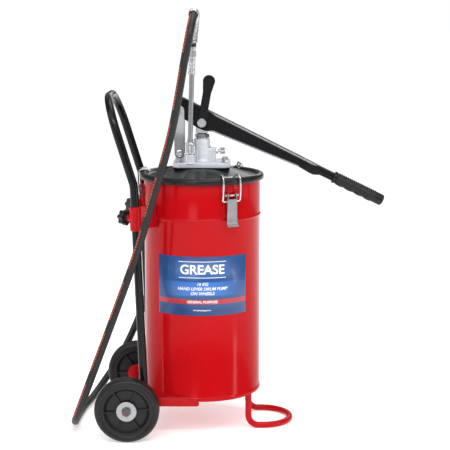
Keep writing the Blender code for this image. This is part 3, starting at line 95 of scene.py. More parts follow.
lamps = {                      # soft boxes: place, aim, size, power
    "frontBox": ((-0.75, -2.3, 1.35), (0, 0, 0.38), (0.7, 1.3), 7),
    "rightStrip": ((1.7, -0.75, 0.8), (0, 0, 0.4), (0.22, 1.5), 6),
    "leftStrip": ((-1.7, -0.35, 0.8), (0, 0, 0.42), (0.2, 1.5), 5),
    "top": ((0.1, 0.2, 2.2), (0, 0, 0.5), (1.0, 1.0), 10),
    "edgeStrip": ((0.25, -1.55, 2.1), (0, 0, 0.5), (1.7, 0.18), 15),
    "behind": ((0.4, 2.1, 1.5), (0, 0, 0.4), (1.2, 1.2), 7),
}
suns = {                       # even light on the floor and the object: from where, strength, spread
    "leftSun": ((-0.55, -0.9, 1.15), 1.0, 50),
    "rightSun": ((0.75, -0.8, 1.05), 0.8, 60),
    "backSun": ((0.15, 1.0, 1.6), 0.45, 80),
}
backdrop = {"seen": 1.0, "glow": 0.16}


def makeStudio():
    for name, (at, aim, size, power) in lamps.items():
        makeLight(name, "AREA", at, aim, shape="RECTANGLE", size=size[0], size_y=size[1], energy=power)
    for name, (at, strength, spread) in suns.items():
        makeLight(name, "SUN", at, (0, 0, 0), energy=strength, angle=math.radians(spread))
    world = bpy.data.worlds.new("studio")
    world.use_nodes = True
    tree = world.node_tree
    path = tree.nodes.new("ShaderNodeLightPath")
    reach = tree.nodes.new("ShaderNodeMapRange")       # white where it is seen, dimmer as a light
    reach.inputs["To Min"].default_value = backdrop["glow"]
    reach.inputs["To Max"].default_value = backdrop["seen"]
    tree.links.new(path.outputs["Is Camera Ray"], reach.inputs["Value"])
    tree.links.new(reach.outputs[0], tree.nodes["Background"].inputs["Strength"])
    tree.nodes["Background"].inputs["Color"].default_value = (1, 1, 1, 1)
    bpy.context.scene.world = world
    bpy.context.scene.view_settings.view_transform = "Standard"
    floor = bmesh.new()
    bmesh.ops.create_grid(floor, x_segments=1, y_segments=1, size=60)
    mesh = bpy.data.meshes.new("floor")
    floor.to_mesh(mesh)
    floor.free()
    ground = bpy.data.objects.new("floor", mesh)
    bpy.context.scene.collection.objects.link(ground)
    ground.location.z = -0.0002
    mesh.materials.append(paleFloor())


# finishes: a node socket that does arithmetic, and a material that holds the nodes
class Sock:
    def __init__(self, finish, socket):
        self.finish, self.socket = finish, socket

    def maths(self, operation, *values):
        return self.finish.node("Math", {"operation": operation}, dict(enumerate(values)))

    def __add__(self, other):
        return self.maths("ADD", self, other)

    def __sub__(self, other):
        return self.maths("SUBTRACT", self, other)

    def __rsub__(self, other):
        return self.maths("SUBTRACT", other, self)

    def __mul__(self, other):
        return self.maths("MULTIPLY", self, other)

    def __gt__(self, other):
        return self.maths("GREATER_THAN", self, other)

    def __lt__(self, other):
        return self.maths("LESS_THAN", self, other)

    __radd__ = __add__
    __rmul__ = __mul__

    # 0 below low, 1 above high, smooth between them
    def fade(self, low, high):
        return self.finish.node("MapRange", {"interpolation_type": "SMOOTHSTEP"},
                {"Value": self, "From Min": low, "From Max": high})


class Finish:
    def __init__(self, name, colour, roughness, metallic=0.0, coat=0.0, sheen=0.5):
        self.material = bpy.data.materials.new(name)
        self.material.use_nodes = True
        self.tree = self.material.node_tree
        self.shader = self.tree.nodes["Principled BSDF"]
        self.shader.inputs["Base Color"].default_value = (*colour, 1)
        self.shader.inputs["Roughness"].default_value = roughness
        self.shader.inputs["Metallic"].default_value = metallic
        self.shader.inputs["Coat Weight"].default_value = coat
        self.shader.inputs["Coat Roughness"].default_value = 0.06
        self.shader.inputs["Specular IOR Level"].default_value = sheen

    def node(self, kind, settings=None, inputs=None, out=0):
        made = self.tree.nodes.new("ShaderNode" + kind)
        for key, value in (settings or {}).items():
            setattr(made, key, value)
        for key, value in (inputs or {}).items():
            if isinstance(value, Sock):
                self.tree.links.new(value.socket, made.inputs[key])
            else:
                made.inputs[key].default_value = value
        return Sock(self, made.outputs[out])

    def place(self, stretch=(1, 1, 1), uv=None):
        where = self.node("UVMap", {"uv_map": uv}) if uv else self.node("TexCoord", out="Object")
        return self.node("Mapping", {}, {"Vector": where, "Scale": stretch})

    def axes(self, uv=None):
        apart = self.node("SeparateXYZ", {}, {"Vector": self.place(uv=uv)})
        outs = self.tree.nodes[-1].outputs
        return apart, Sock(self, outs[1]), Sock(self, outs[2])

    def noise(self, scale, detail=3.0, rough=0.55, stretch=(1, 1, 1), uv=None):
        return self.node("TexNoise", {}, {"Vector": self.place(stretch, uv), "Scale": scale,
                "Detail": detail, "Roughness": rough})

    def cells(self, scale, stretch=(1, 1, 1)):
        return self.node("TexVoronoi", {}, {"Vector": self.place(stretch), "Scale": scale})

    def mix(self, factor, first, second):
        made = self.tree.nodes.new("ShaderNodeMix")
        made.data_type = "RGBA"
        for index, value in ((0, factor), (6, first), (7, second)):
            if isinstance(value, Sock):
                self.tree.links.new(value.socket, made.inputs[index])
            else:
                made.inputs[index].default_value = (*value, 1) if isinstance(value, tuple) else value
        return Sock(self, made.outputs[2])

    def feed(self, **sockets):
        for name, value in sockets.items():
            self.tree.links.new(value.socket, self.shader.inputs[name.replace("_", " ")])

    def bump(self, height, distance, strength=1.0):
        self.feed(Normal=self.node("Bump", {}, {"Height": height, "Distance": distance,
                "Strength": strength}))


def shade(colour, amount):
    return tuple(min(1.0, part * amount) for part in colour)


def paleFloor():
    floor = Finish("pale_floor", (0.9, 0.9, 0.905), 0.8, 0.0, 0.0, 0.1)
    cloud = floor.noise(1.7, 2)
    floor.feed(Base_Color=floor.mix(cloud, (0.89, 0.89, 0.893), (0.91, 0.91, 0.912)))
    floor.shader.inputs["Emission Color"].default_value = (1, 1, 1, 1)
    floor.shader.inputs["Emission Strength"].default_value = 0.43
    return floor.material


# sprayed enamel: faint orange peel, dust, slight tone changes, and chips on bought-in frames
def glossPaint(name, colour, roughness=0.17, chips=0.0, coat=0.5):
    paint = Finish(name, colour, roughness, 0.0, coat, 0.12)
    tone = paint.noise(9, 4)
    smear = paint.noise(23, 5, 0.65, (1, 1, 0.35))
    dust = paint.noise(420, 2).fade(0.7, 0.82)
    body = paint.mix(tone, shade(colour, 0.9), shade(colour, 1.1))
    body = paint.mix(dust * 0.1, body, (0.55, 0.5, 0.48))
    if chips:
        chip = paint.noise(150, 4, 0.7).fade(0.735 - chips, 0.75 - chips)
        body = paint.mix(chip, body, shade(colour, 0.35))
        paint.feed(Metallic=chip * 0.4)
    paint.feed(Base_Color=body, Roughness=smear * 0.14 + (roughness - 0.05) + dust * 0.15)
    paint.bump(paint.noise(260, 2) * 0.8 + paint.noise(45, 2) * 0.4, 0.00012, 0.35)
    return paint.material


def blackEnamel(name, colour=(0.009, 0.009, 0.01), roughness=0.28, coat=0.15):
    enamel = Finish(name, colour, roughness, 0.0, coat, 0.15)
    dust = enamel.noise(330, 3).fade(0.66, 0.8)
    rub = enamel.noise(31, 5, 0.7)
    tone = enamel.mix(rub, shade(colour, 0.8), shade(colour, 1.35))
    enamel.feed(Base_Color=enamel.mix(dust * 0.03, tone, (0.2, 0.2, 0.21)))
    enamel.feed(Roughness=rub * 0.12 + (roughness - 0.06) + dust * 0.08)
    enamel.bump(enamel.noise(380, 2) + enamel.noise(70, 3) * 0.5, 0.00008, 0.25)
    return enamel.material


# die-cast alloy: fine sandy skin, small pits, rubbed bright in places
def castAlloy(name, colour=(0.66, 0.68, 0.72), roughness=0.5):
    cast = Finish(name, colour, roughness, 0.55)
    grain = cast.noise(1100, 3, 0.7)
    blotch = cast.noise(38, 5, 0.6)
    pit = cast.cells(520).fade(0.16, 0.3)
    tone = cast.mix(blotch, shade(colour, 0.78), shade(colour, 1.28))
    cast.feed(Base_Color=cast.mix((1 - pit) * 0.55, tone, shade(colour, 0.45)))
    cast.feed(Roughness=blotch * 0.22 + (roughness - 0.14) + grain * 0.12)
    cast.bump(grain * 0.6 + pit * 0.5, 0.00022, 0.6)
    return cast.material


# zinc or nickel plate: drawn along the piece where brushed is uneven
def platedSteel(name, colour=(0.6, 0.61, 0.63), roughness=0.24, brushed=(1, 1, 1), depth=0.5):
    plate = Finish(name, colour, roughness, 1.0)
    lines = plate.noise(620, 4, 0.7, brushed)
    cloud = plate.noise(55, 4, 0.6)
    tone = plate.mix(cloud, shade(colour, 0.8), shade(colour, 1.2))
    plate.feed(Base_Color=plate.mix(lines * 0.3, tone, shade(colour, 0.62)))
    plate.feed(Roughness=lines * 0.16 + (roughness - 0.1) + cloud * 0.12)
    plate.bump(lines, 0.00007, depth)
    return plate.material


def blackRubber(name, colour=(0.011, 0.011, 0.012), roughness=0.5, grain=900):
    rubber = Finish(name, colour, roughness, 0.0, 0.0, 0.3)
    fine = rubber.noise(grain, 2, 0.6)
    bloom = rubber.noise(26, 5, 0.65)
    rubber.feed(Base_Color=rubber.mix(bloom, shade(colour, 0.75), shade(colour, 1.55)))
    rubber.feed(Roughness=bloom * 0.2 + (roughness - 0.1) + fine * 0.06)
    rubber.bump(fine, 0.00016, 0.5)
    return rubber.material


def mouldedPlastic(name, colour=(0.014, 0.014, 0.015), roughness=0.4):
    plastic = Finish(name, colour, roughness, 0.0, 0.0, 0.3)
    skin = plastic.noise(700, 2, 0.5)
    wear = plastic.noise(42, 5, 0.7)
    scuff = plastic.noise(160, 4, 0.75, (1, 0.2, 1)).fade(0.64, 0.8)
    tone = plastic.mix(wear, shade(colour, 0.8), shade(colour, 1.35))
    plastic.feed(Base_Color=plastic.mix(scuff * 0.35, tone, (0.1, 0.1, 0.105)))
    plastic.feed(Roughness=wear * 0.18 + (roughness - 0.09) + scuff * 0.12)
    plastic.bump(skin, 0.00012, 0.5)
    return plastic.material


def darkSteel(name, colour=(0.13, 0.13, 0.14), paintTraces=False):
    steel = Finish(name, colour, 0.38, 1.0)
    oil = steel.noise(75, 4, 0.65)
    tone = steel.mix(oil, shade(colour, 0.6), shade(colour, 1.6))
    if paintTraces:                                    # overspray left from painting the frame
        trace = steel.noise(210, 3, 0.6).fade(0.6, 0.66)
        tone = steel.mix(trace, tone, (0.45, 0.012, 0.018))
        steel.feed(Metallic=1 - trace)
    steel.feed(Base_Color=tone, Roughness=oil * 0.3 + 0.22)
    steel.bump(oil, 0.00015, 0.4)
    return steel.material


hose = {"radius": 0.0075, "samples": 380, "printWidth": 0.078, "group": 0.105, "letter": 0.0062,
        "printColour": (0.62, 0.085, 0.03), "printAt": 0.35}


# smooth hydraulic rubber with a broken line of print along one side; u goes along, v round
def hoseRubber(length):
    rubber = Finish("hose_rubber", (0.012, 0.012, 0.013), 0.42, 0.0, 0.0, 0.35)
    lengthwise, around, _ = rubber.axes("UVMap")
    metres = lengthwise * length
    turned = rubber.node("Math", {"operation": "FRACT"}, {0: around + hose["printAt"]})
    side = rubber.node("Math", {"operation": "ABSOLUTE"}, {0: turned - 0.5})
    groups = rubber.node("Math", {"operation": "FRACT"}, {0: metres * (1 / hose["group"])})
    letters = rubber.node("Math", {"operation": "FRACT"}, {0: metres * (1 / hose["letter"])})
    broken = rubber.noise(1.0, 3, 0.75, (length * 260, 22, 1), "UVMap")
    mark = (side < hose["printWidth"] / 2) * (groups < 0.74) * (letters < 0.72) * (broken > 0.46)
    bloom = rubber.noise(24, 5, 0.65)
    skin = rubber.noise(1.0, 2, 0.5, (length * 700, 60, 1), "UVMap")
    tone = rubber.mix(bloom, (0.008, 0.008, 0.009), (0.02, 0.02, 0.021))
    rubber.feed(Base_Color=rubber.mix(mark, tone, hose["printColour"]))
    rubber.feed(Roughness=bloom * 0.22 + 0.36 + mark * 0.1)
    rubber.bump(skin + mark * 0.8, 0.00008, 0.4)
    return rubber.material


label = {"bottom": 0.1707, "height": 0.1149, "halfTurn": 47.0, "facing": 1.5, "proud": 0.00035,
        "navy": (0.018, 0.075, 0.235), "sky": (0.03, 0.16, 0.54), "red": (0.5, 0.02, 0.028)}


# printed vinyl: navy with a lighter band that fades towards its ends, and a red stripe
def labelPrint():
    vinyl = Finish("label_print", label["navy"], 0.32, 0.0, 0.2)
    across, up, _ = vinyl.axes("UVMap")
    middle = vinyl.node("Math", {"operation": "ABSOLUTE"}, {0: across - 0.5})
    glow = 1 - middle.fade(0.1, 0.47)
    band = (up > 0.335) * (up < 0.575) * glow
    head = (up > 0.62) * (up < 0.93) * (middle < 0.285) * 0.45
    stripe = (up > 0.195) * (up < 0.272)
    tone = vinyl.mix(vinyl.noise(60, 3), shade(label["navy"], 0.88), shade(label["navy"], 1.1))
    tone = vinyl.mix(band, tone, label["sky"])
    tone = vinyl.mix(head, tone, shade(label["sky"], 0.8))
    tone = vinyl.mix(stripe, tone, label["red"])
    vinyl.feed(Base_Color=tone, Roughness=vinyl.noise(40, 4) * 0.14 + 0.26)
    vinyl.bump(vinyl.noise(300, 2), 0.00005, 0.3)
    return vinyl.material


def whiteInk():
    ink = Finish("label_ink", (0.82, 0.83, 0.84), 0.36)
    ink.feed(Base_Color=ink.mix(ink.noise(220, 3), (0.76, 0.77, 0.79), (0.88, 0.88, 0.89)))
    return ink.material


finishes = {"drumPaint": glossPaint("drum_paint", (0.455, 0.0034, 0.006), 0.13, 0.0, 0.03),
        "framePaint": glossPaint("frame_paint", (0.44, 0.0042, 0.007), 0.2, 0.035, 0.05),
        "lidEnamel": blackEnamel("lid_enamel", (0.012, 0.012, 0.013), 0.3),
        "leverEnamel": blackEnamel("lever_enamel", (0.005, 0.005, 0.006), 0.2, 0.1),
        "handleEnamel": blackEnamel("handle_enamel", (0.005, 0.005, 0.006), 0.17, 0.15),
        "cast": castAlloy("cast_body"), "bright": platedSteel("bright_plate", (0.56, 0.57, 0.59), 0.24),
        "drawn": platedSteel("drawn_steel", (0.3, 0.31, 0.33), 0.3, (1, 1, 0.06)),
        "strip": platedSteel("latch_strip_steel", (0.3, 0.3, 0.31), 0.34, (1, 1, 0.1), 0.8),
        "wire": platedSteel("wire_plate", (0.6, 0.61, 0.63), 0.18),
        "washer": platedSteel("washer_zinc", (0.42, 0.43, 0.44), 0.34),
        "rubber": blackRubber("gasket_rubber"),
        "gripRubber": mouldedPlastic("grip_plastic", (0.007, 0.007, 0.008), 0.28),
        "tyre": mouldedPlastic("wheel_tyre", (0.009, 0.009, 0.01), 0.36),
        "knob": mouldedPlastic("knob_plastic", (0.012, 0.012, 0.013), 0.34),
        "dark": darkSteel("dark_steel"), "axleBolt": darkSteel("axle_bolt_steel", (0.1, 0.1, 0.11), True),
        }
print("finishes made")


# shapes: each maker gives a small bmesh, and gather puts them together
def placed(at=(0, 0, 0), turn=(0, 0, 0)):
    return Matrix.Translation(at) @ Euler([math.radians(angle) for angle in turn]).to_matrix().to_4x4()


# takes +Z from the origin onto the line from start to end
def lineUp(start, end):
    way = Vector(end) - Vector(start)
    return Matrix.Translation(start) @ way.to_track_quat("Z", "Y").to_matrix().to_4x4()


def shift(shape, matrix):
    bmesh.ops.transform(shape, matrix=matrix, verts=shape.verts)
    return shape


def gather(*parts):
    whole = bmesh.new()
    for part in parts:
        shape, where = part if isinstance(part, tuple) else (part, None)
        if where is not None:
            shift(shape, where)
        bmesh.ops.recalc_face_normals(shape, faces=shape.faces)
        mesh = bpy.data.meshes.new("part")
        shape.to_mesh(mesh)
        shape.free()
        whole.from_mesh(mesh)
        bpy.data.meshes.remove(mesh)
    return whole


def soften(shape, width, segments=3, angle=32):
    edges = [edge for edge in shape.edges
            if len(edge.link_faces) == 2 and edge.calc_face_angle(0) > math.radians(angle)]
    bmesh.ops.bevel(shape, geom=edges, offset=width, offset_type="OFFSET", segments=segments, profile=0.5,
            affect="EDGES", material=-1, clamp_overlap=True)
    return shape


# cuts the long edges that run along an axis, so that the shape can be bent
def cutAlong(shape, axis, cuts):
    long = [edge for edge in shape.edges if abs(edge.verts[0].co[axis] - edge.verts[1].co[axis]) > 0.01]
    bmesh.ops.subdivide_edges(shape, edges=long, cuts=cuts)


def turned(profile, steps=64, closed=False):
    shape = bmesh.new()
    points = [shape.verts.new((radius, 0, height)) for radius, height in profile]
    lines = [shape.edges.new(pair) for pair in zip(points, points[1:])]
    if closed:
        lines.append(shape.edges.new((points[-1], points[0])))
    bmesh.ops.spin(shape, geom=points + lines, cent=(0, 0, 0), axis=(0, 0, 1), angle=math.tau, steps=steps,
            use_merge=True, use_duplicate=False)
    bmesh.ops.remove_doubles(shape, verts=shape.verts, dist=0.000002)
    return shape


def rod(radius, length, edge=0.0005, steps=48):
    return turned([(0, 0), (radius - edge, 0), (radius, edge), (radius, length - edge),
            (radius - edge, length), (0, length)], steps)


# a flat outline in x and z, thick along y and centred on y = 0
def slab(outline, thickness, edge=0.0, segments=3):
    shape = bmesh.new()
    face = shape.faces.new([shape.verts.new((x, -thickness / 2, z)) for x, z in outline])
    grown = bmesh.ops.extrude_face_region(shape, geom=[face])
    moved = [item for item in grown["geom"] if isinstance(item, bmesh.types.BMVert)]
    bmesh.ops.translate(shape, verts=moved, vec=(0, thickness, 0))
    bmesh.ops.recalc_face_normals(shape, faces=shape.faces)
    return soften(shape, edge, segments) if edge else shape


def block(low, high, edge=0.0, segments=3):
    shape = bmesh.new()
    bmesh.ops.create_cube(shape, size=1)
    size = Vector(high) - Vector(low)
    middle = (Vector(high) + Vector(low)) / 2
    shift(shape, placed(middle) @ Matrix.Diagonal((*size, 1)))
    return soften(shape, edge, segments) if edge else shape


# a nut or bolt head from z = 0 upwards, its corners cut back as on a real one
def hexagon(radius, height, chamfer=0.0009, dish=0.0, start=0.0):
    shape = bmesh.new()
    bmesh.ops.create_cone(shape, cap_ends=True, segments=6, radius1=radius, radius2=radius, depth=height,
            matrix=placed((0, 0, height / 2), (0, 0, start)))
    soften(shape, 0.0004, 2)
    for vert in shape.verts:
        spread = math.hypot(vert.co.x, vert.co.y)
        limit = radius - chamfer * max(0.0, 1 - (height - vert.co.z) / chamfer)
        if spread > limit:
            vert.co.x *= limit / spread
            vert.co.y *= limit / spread
    if not dish:
        return shape
    cap = turned([(0, height - dish), (radius * 0.46, height - dish), (radius * 0.56, height + 0.00015),
            (radius * 0.62, height + 0.00015), (radius * 0.62, height - 0.0006), (0, height - 0.0006)], 32)
    return gather(shape, cap)


def arc(centre, radius, start, end, count):
    sweep = [math.radians(start + (end - start) * step / count) for step in range(count + 1)]
    return [(centre[0] + radius * math.cos(angle), centre[1] + radius * math.sin(angle)) for angle in sweep]


# evenly spaced points on a smooth curve through the route's points
def smooth(route, samples):
    route = [Vector(point) for point in route]
    padded = [2 * route[0] - route[1]] + route + [2 * route[-1] - route[-2]]
    dense = []
    for p0, p1, p2, p3 in zip(padded, padded[1:], padded[2:], padded[3:]):
        knot1 = (p1 - p0).length ** 0.5
        knot2 = knot1 + (p2 - p1).length ** 0.5
        knot3 = knot2 + (p3 - p2).length ** 0.5
        for step in range(24):
            t = knot1 + (knot2 - knot1) * step / 24
            a1 = p0 + (p1 - p0) * t / knot1
            a2 = p1 + (p2 - p1) * (t - knot1) / (knot2 - knot1)
            a3 = p2 + (p3 - p2) * (t - knot2) / (knot3 - knot2)
            b1 = a1 + (a2 - a1) * t / knot2
            b2 = a2 + (a3 - a2) * (t - knot1) / (knot3 - knot1)
            dense.append(b1 + (b2 - b1) * (t - knot1) / (knot2 - knot1))
    return evenly(dense + [route[-1]], samples)


def evenly(path, samples):
    run = [0.0]
    for start, end in zip(path, path[1:]):
        run.append(run[-1] + (end - start).length)
    points, index = [], 0
    for sample in range(samples):
        wanted = run[-1] * sample / (samples - 1)
        while index < len(path) - 2 and run[index + 1] < wanted:
            index += 1
        points.append(path[index].lerp(path[index + 1],
                (wanted - run[index]) / (run[index + 1] - run[index])))
    return points


def lengthOf(path):
    return sum((Vector(end) - Vector(start)).length for start, end in zip(path, path[1:]))


def shapeOf(curve):
    holder = bpy.data.objects.new("holder", curve)
    bpy.context.scene.collection.objects.link(holder)
    mesh = bpy.data.meshes.new_from_object(holder.evaluated_get(bpy.context.evaluated_depsgraph_get()))
    bpy.data.objects.remove(holder, do_unlink=True)
    shape = bmesh.new()
    shape.from_mesh(mesh)
    bpy.data.meshes.remove(mesh)
    return shape


# a wire or tube along a path, from a bevelled curve; its UV map has u along it and v round it
def sweep(path, radius, sides=16, tilt=0.0, cyclic=False):
    curve = bpy.data.curves.new("path", "CURVE")
    curve.dimensions = "3D"
    curve.bevel_depth = radius
    curve.bevel_resolution = sides // 2 - 2
    curve.use_fill_caps = True
    line = curve.splines.new("POLY")
    line.points.add(len(path) - 1)
    for point, at in zip(line.points, path):
        point.co = (*at, 1)
        point.tilt = tilt
    line.use_cyclic_u = cyclic
    shape = shapeOf(curve)
    bmesh.ops.remove_doubles(shape, verts=shape.verts, dist=0.000002)
    return shape


# straight runs joined by round bends
def bend(corners, radii, count=12):
    corners = [Vector(corner) for corner in corners]
    path = [corners[0]]
    for before, corner, after, radius in zip(corners, corners[1:], corners[2:], radii):
        into, out = (before - corner).normalized(), (after - corner).normalized()
        half = into.angle(out) / 2
        centre = corner + (into + out).normalized() * radius / math.sin(half)
        first = corner + into * radius / math.tan(half) - centre
        last = corner + out * radius / math.tan(half) - centre
        axis, swing = first.cross(last).normalized(), first.angle(last)
        path += [centre + Matrix.Rotation(swing * step / count, 3, axis) @ first
                for step in range(count + 1)]
    return path + [corners[-1]]


# skins closed rings of points, one after another, and caps both ends
def loft(rings):
    shape = bmesh.new()
    loops = []
    for ring in rings:
        points = [shape.verts.new(point) for point in ring]
        loops.append([shape.edges.new((a, b)) for a, b in zip(points, points[1:] + points[:1])])
    for first, second in zip(loops, loops[1:]):
        bmesh.ops.bridge_loops(shape, edges=first + second)
    for ends in (loops[0], loops[-1]):
        bmesh.ops.contextual_create(shape, geom=ends)
    return shape


def addPiece(name, shape, finish, body, nodes=(), crease=38, weighted=True):
    bmesh.ops.recalc_face_normals(shape, faces=shape.faces)
    mesh = bpy.data.meshes.new(name)
    shape.to_mesh(mesh)
    shape.free()
    piece = bpy.data.objects.new(name, mesh)
    bpy.context.scene.collection.objects.link(piece)
    mesh.materials.append(finishes[finish] if isinstance(finish, str) else finish)
    mesh.shade_smooth()
    mesh.set_sharp_from_angle(angle=math.radians(crease))
    if weighted:
        even = piece.modifiers.new("even", "WEIGHTED_NORMAL")
        even.keep_sharp = True
    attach(piece, body)
    if nodes:
        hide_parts(*nodes)
    return piece


makeCamera()
makeStudio()
print("camera and studio made")


# hose, its guard spring, and the stored nozzle
hoseRoute = (                  # nozzle end to pump end, from the drum's axis
    (-0.017, -0.033, 0.7503), (-0.0168, -0.0331, 0.757), (-0.015, -0.0408, 0.7833),
    (-0.0125, -0.0623, 0.8047), (-0.0118, -0.0915, 0.8125), (-0.013, -0.1208, 0.8047),
    (-0.017, -0.143, 0.7833), (-0.0222, -0.1495, 0.756), (-0.0278, -0.15, 0.7266),
    (-0.0368, -0.15, 0.6741), (-0.0511, -0.1475, 0.6006), (-0.0676, -0.142, 0.5388),
    (-0.089, -0.1365, 0.4686), (-0.1175, -0.132, 0.374), (-0.1526, -0.1335, 0.2762),
    (-0.1945, -0.141, 0.164), (-0.2235, -0.141, 0.087), (-0.241, -0.117, 0.041),
    (-0.25, -0.07, 0.0165), (-0.251, -0.015, 0.0096), (-0.246, 0.05, 0.0093),
    (-0.236, 0.105, 0.0112), (-0.226, 0.155, 0.0175),
    (-0.212, 0.185, 0.034), (-0.192, 0.195, 0.062), (-0.172, 0.193, 0.1),
    (-0.15, 0.188, 0.148), (-0.115, 0.18, 0.235), (-0.075, 0.169, 0.33),
    (-0.035, 0.157, 0.415), (-0.008, 0.145, 0.472), (0.0, 0.134, 0.512),
    (0.0, 0.117, 0.537), (0.0, 0.093, 0.548), (0.0, 0.0643, 0.548),
)
hose["length"] = 1.88          # the route's own length
spring = {"outer": 0.01, "wire": 0.0009, "pitch": 0.0027, "perTurn": 14, "reach": 0.12}
nozzle = {"tube": 0.0048, "swivel": 0.0545, "ferrule": 0.0071, "hex": 0.008, "knurls": 34}


def coilRound(path, radius, pitch, perTurn):
    steps = int(lengthOf(path) / pitch * perTurn)
    line = evenly(path, steps + 1)
    side = Vector((1, 0, 0))
    coil = []
    for index, point in enumerate(line):
        onward = (line[min(index + 1, steps)] - line[max(index - 1, 0)]).normalized()
        side = (side - onward * side.dot(onward)).normalized()
        angle = math.tau * index / perTurn
        coil.append(point + (side * math.cos(angle) + onward.cross(side) * math.sin(angle)) * radius)
    return coil


def knurled(radius, depth, count, height):
    shape = bmesh.new()
    bmesh.ops.create_cone(shape, cap_ends=True, segments=count * 2, radius1=radius, radius2=radius,
            depth=height, matrix=placed((0, 0, height / 2)))
    for vert in shape.verts:
        tooth = round(math.atan2(vert.co.y, vert.co.x) / (math.pi / count))
        if tooth % 2:
            vert.co.xy *= 1 - depth / radius
    return shape


def makeHose():
    route = [Vector(point) + Vector((drumX, 0, 0)) for point in hoseRoute]
    path = ([route[0]] + smooth(route[1:], hose["samples"]))[::-1]
    couplerLow, couplerHigh, couplerMiddle = sizeOf("nozzle_coupler")
    foot = Vector((couplerMiddle.x, couplerMiddle.y, couplerHigh.z))
    top = path[-1]
    upward = (top - foot).normalized()
    neck = top - upward * nozzle["swivel"]

    length = couplerHigh.z - couplerLow.z
    grip = length * 0.62
    radius = (couplerHigh.x - couplerLow.x) / 2
    coupler = gather(turned([(0, 0), (radius - 0.0012, 0), (radius - 0.0004, 0.0008),
            (radius - 0.0004, 0.0034), (0, 0.0034)]),
            (knurled(radius, 0.0007, nozzle["knurls"], grip), placed((0, 0, 0.0034))),
            (turned([(0, 0), (radius - 0.001, 0), (radius - 0.0002, 0.0008),
            (radius - 0.0002, length - grip - 0.005), (radius - 0.0022, length - grip - 0.0034),
            (0, length - grip - 0.0034)]), placed((0, 0, grip + 0.0034))))
    shift(coupler, placed((foot.x, foot.y, couplerLow.z)))
    couplerPiece = addPiece("coupler", coupler, "bright", "root", ["nozzle_coupler"])

    tubeLength = (neck - foot).length
    crimp = nozzle["tube"] + 0.001
    tube = turned([(0, 0), (crimp, 0), (crimp, 0.005), (nozzle["tube"], 0.0062),
            (nozzle["tube"], tubeLength - 0.004), (nozzle["tube"] + 0.0004, tubeLength - 0.003),
            (nozzle["tube"] + 0.0004, tubeLength), (0, tubeLength)])
    shift(tube, lineUp(foot, neck))
    tubePiece = addPiece("delivery_tube", tube, "drawn", "root", ["nozzle_tube"])

    wide, slim = nozzle["ferrule"], nozzle["ferrule"] - 0.0009
    ferrule = turned([(0, 0.0002), (wide - 0.001, 0.0002), (wide, 0.0012), (wide, 0.0052), (slim, 0.0062),
            (slim, 0.012), (slim - 0.0004, 0.0126), (slim, 0.0132), (slim, 0.02), (slim - 0.0004, 0.0206),
            (slim, 0.0212), (slim, 0.0262), (wide, 0.0272), (wide, 0.03), (slim - 0.0008, 0.0312),
            (slim - 0.0008, 0.035), (0, 0.035)])
    neckRing = turned([(0, 0.046), (slim, 0.046), (slim, 0.0492), (wide + 0.0004, 0.05),
            (wide + 0.0004, 0.0532), (slim, 0.0541), (0, 0.0541)])
    swivel = gather(ferrule, (hexagon(nozzle["hex"], 0.0122, 0.001), placed((0, 0, 0.034))), neckRing)
    shift(swivel, lineUp(neck, top))
    swivelPiece = addPiece("swivel", swivel, "bright", "root", ["hose_swivel"])

    covered = path[-int(len(path) * spring["reach"] / hose["length"]):-1][::-1]
    coil = coilRound(covered, spring["outer"] - spring["wire"], spring["pitch"], spring["perTurn"])
    guard = addPiece("guard_spring", sweep(coil, spring["wire"], 8), "wire", "root",
            ["spring_guard"], 80, False)

    tube = sweep(path, hose["radius"], 28)
    piece = addPiece("delivery_hose", tube, hoseRubber(hose["length"]), "root", ["hose"],
            60, False)


makeHose()
print("hose made")


# drum, its label and the lid
def makeDrum():
    radius, bead = drum["radius"], drum["bead"]
    beadZ = drumTop - drum["beadBelowTop"]
    profile = [(0, drumBottom + drum["wall"]), (radius - drum["wall"], drumBottom + drum["wall"]),
            (radius - drum["wall"], drumTop), (radius, drumTop)]
    for step in range(13):                             # one round bead pressed outwards
        share = step / 12
        profile.append((radius + bead * math.sin(math.pi * share) ** 1.4, beadZ + 0.0036 - 0.0072 * share))
    profile += [(radius, drumBottom + 0.0085), (radius + bead * 0.25, drumBottom + 0.0078),
            (radius + bead * 0.8, drumBottom + 0.0066), (radius + bead, drumBottom + 0.0048),
            (radius + bead, drumBottom + 0.0014), (radius + bead * 0.6, drumBottom + 0.0003),
            (radius, drumBottom), (radius - 0.003, drumBottom + 0.0002), (0, drumBottom + 0.0002)]
    seam = block((-radius - 0.0004, -0.003, drumBottom + 0.0095), (-radius + 0.0008, 0.003, beadZ - 0.006),
            0.0004)
    shape = gather((turned(profile, drum["steps"]), placed((drumX, 0, 0))),
            (seam, placed((drumX, 0, 0), (0, 0, -24))))
    addPiece("drum_shell", shape, "drumPaint", "root", ["drum"], 50, False)


# bends a flat shape, in x across and z up, onto the front of the drum; y is its height off the wall
def wrap(shape, proud):
    for vert in shape.verts:
        reach = drum["radius"] + proud - vert.co.y
        angle = math.radians(label["facing"] - 90) + vert.co.x / drum["radius"]
        vert.co = (drumX + reach * math.cos(angle), reach * math.sin(angle), vert.co.z)


def lettering(text, size, middle, height, slant=0.0):
    curve = bpy.data.curves.new("text", "FONT")
    curve.body = text
    curve.size = size
    curve.align_x, curve.align_y = "CENTER", "CENTER"
    curve.offset = size * 0.026
    curve.shear = slant
    curve.extrude = 0.00006
    return shift(shapeOf(curve), placed((middle, 0, height), (90, 0, 0)))


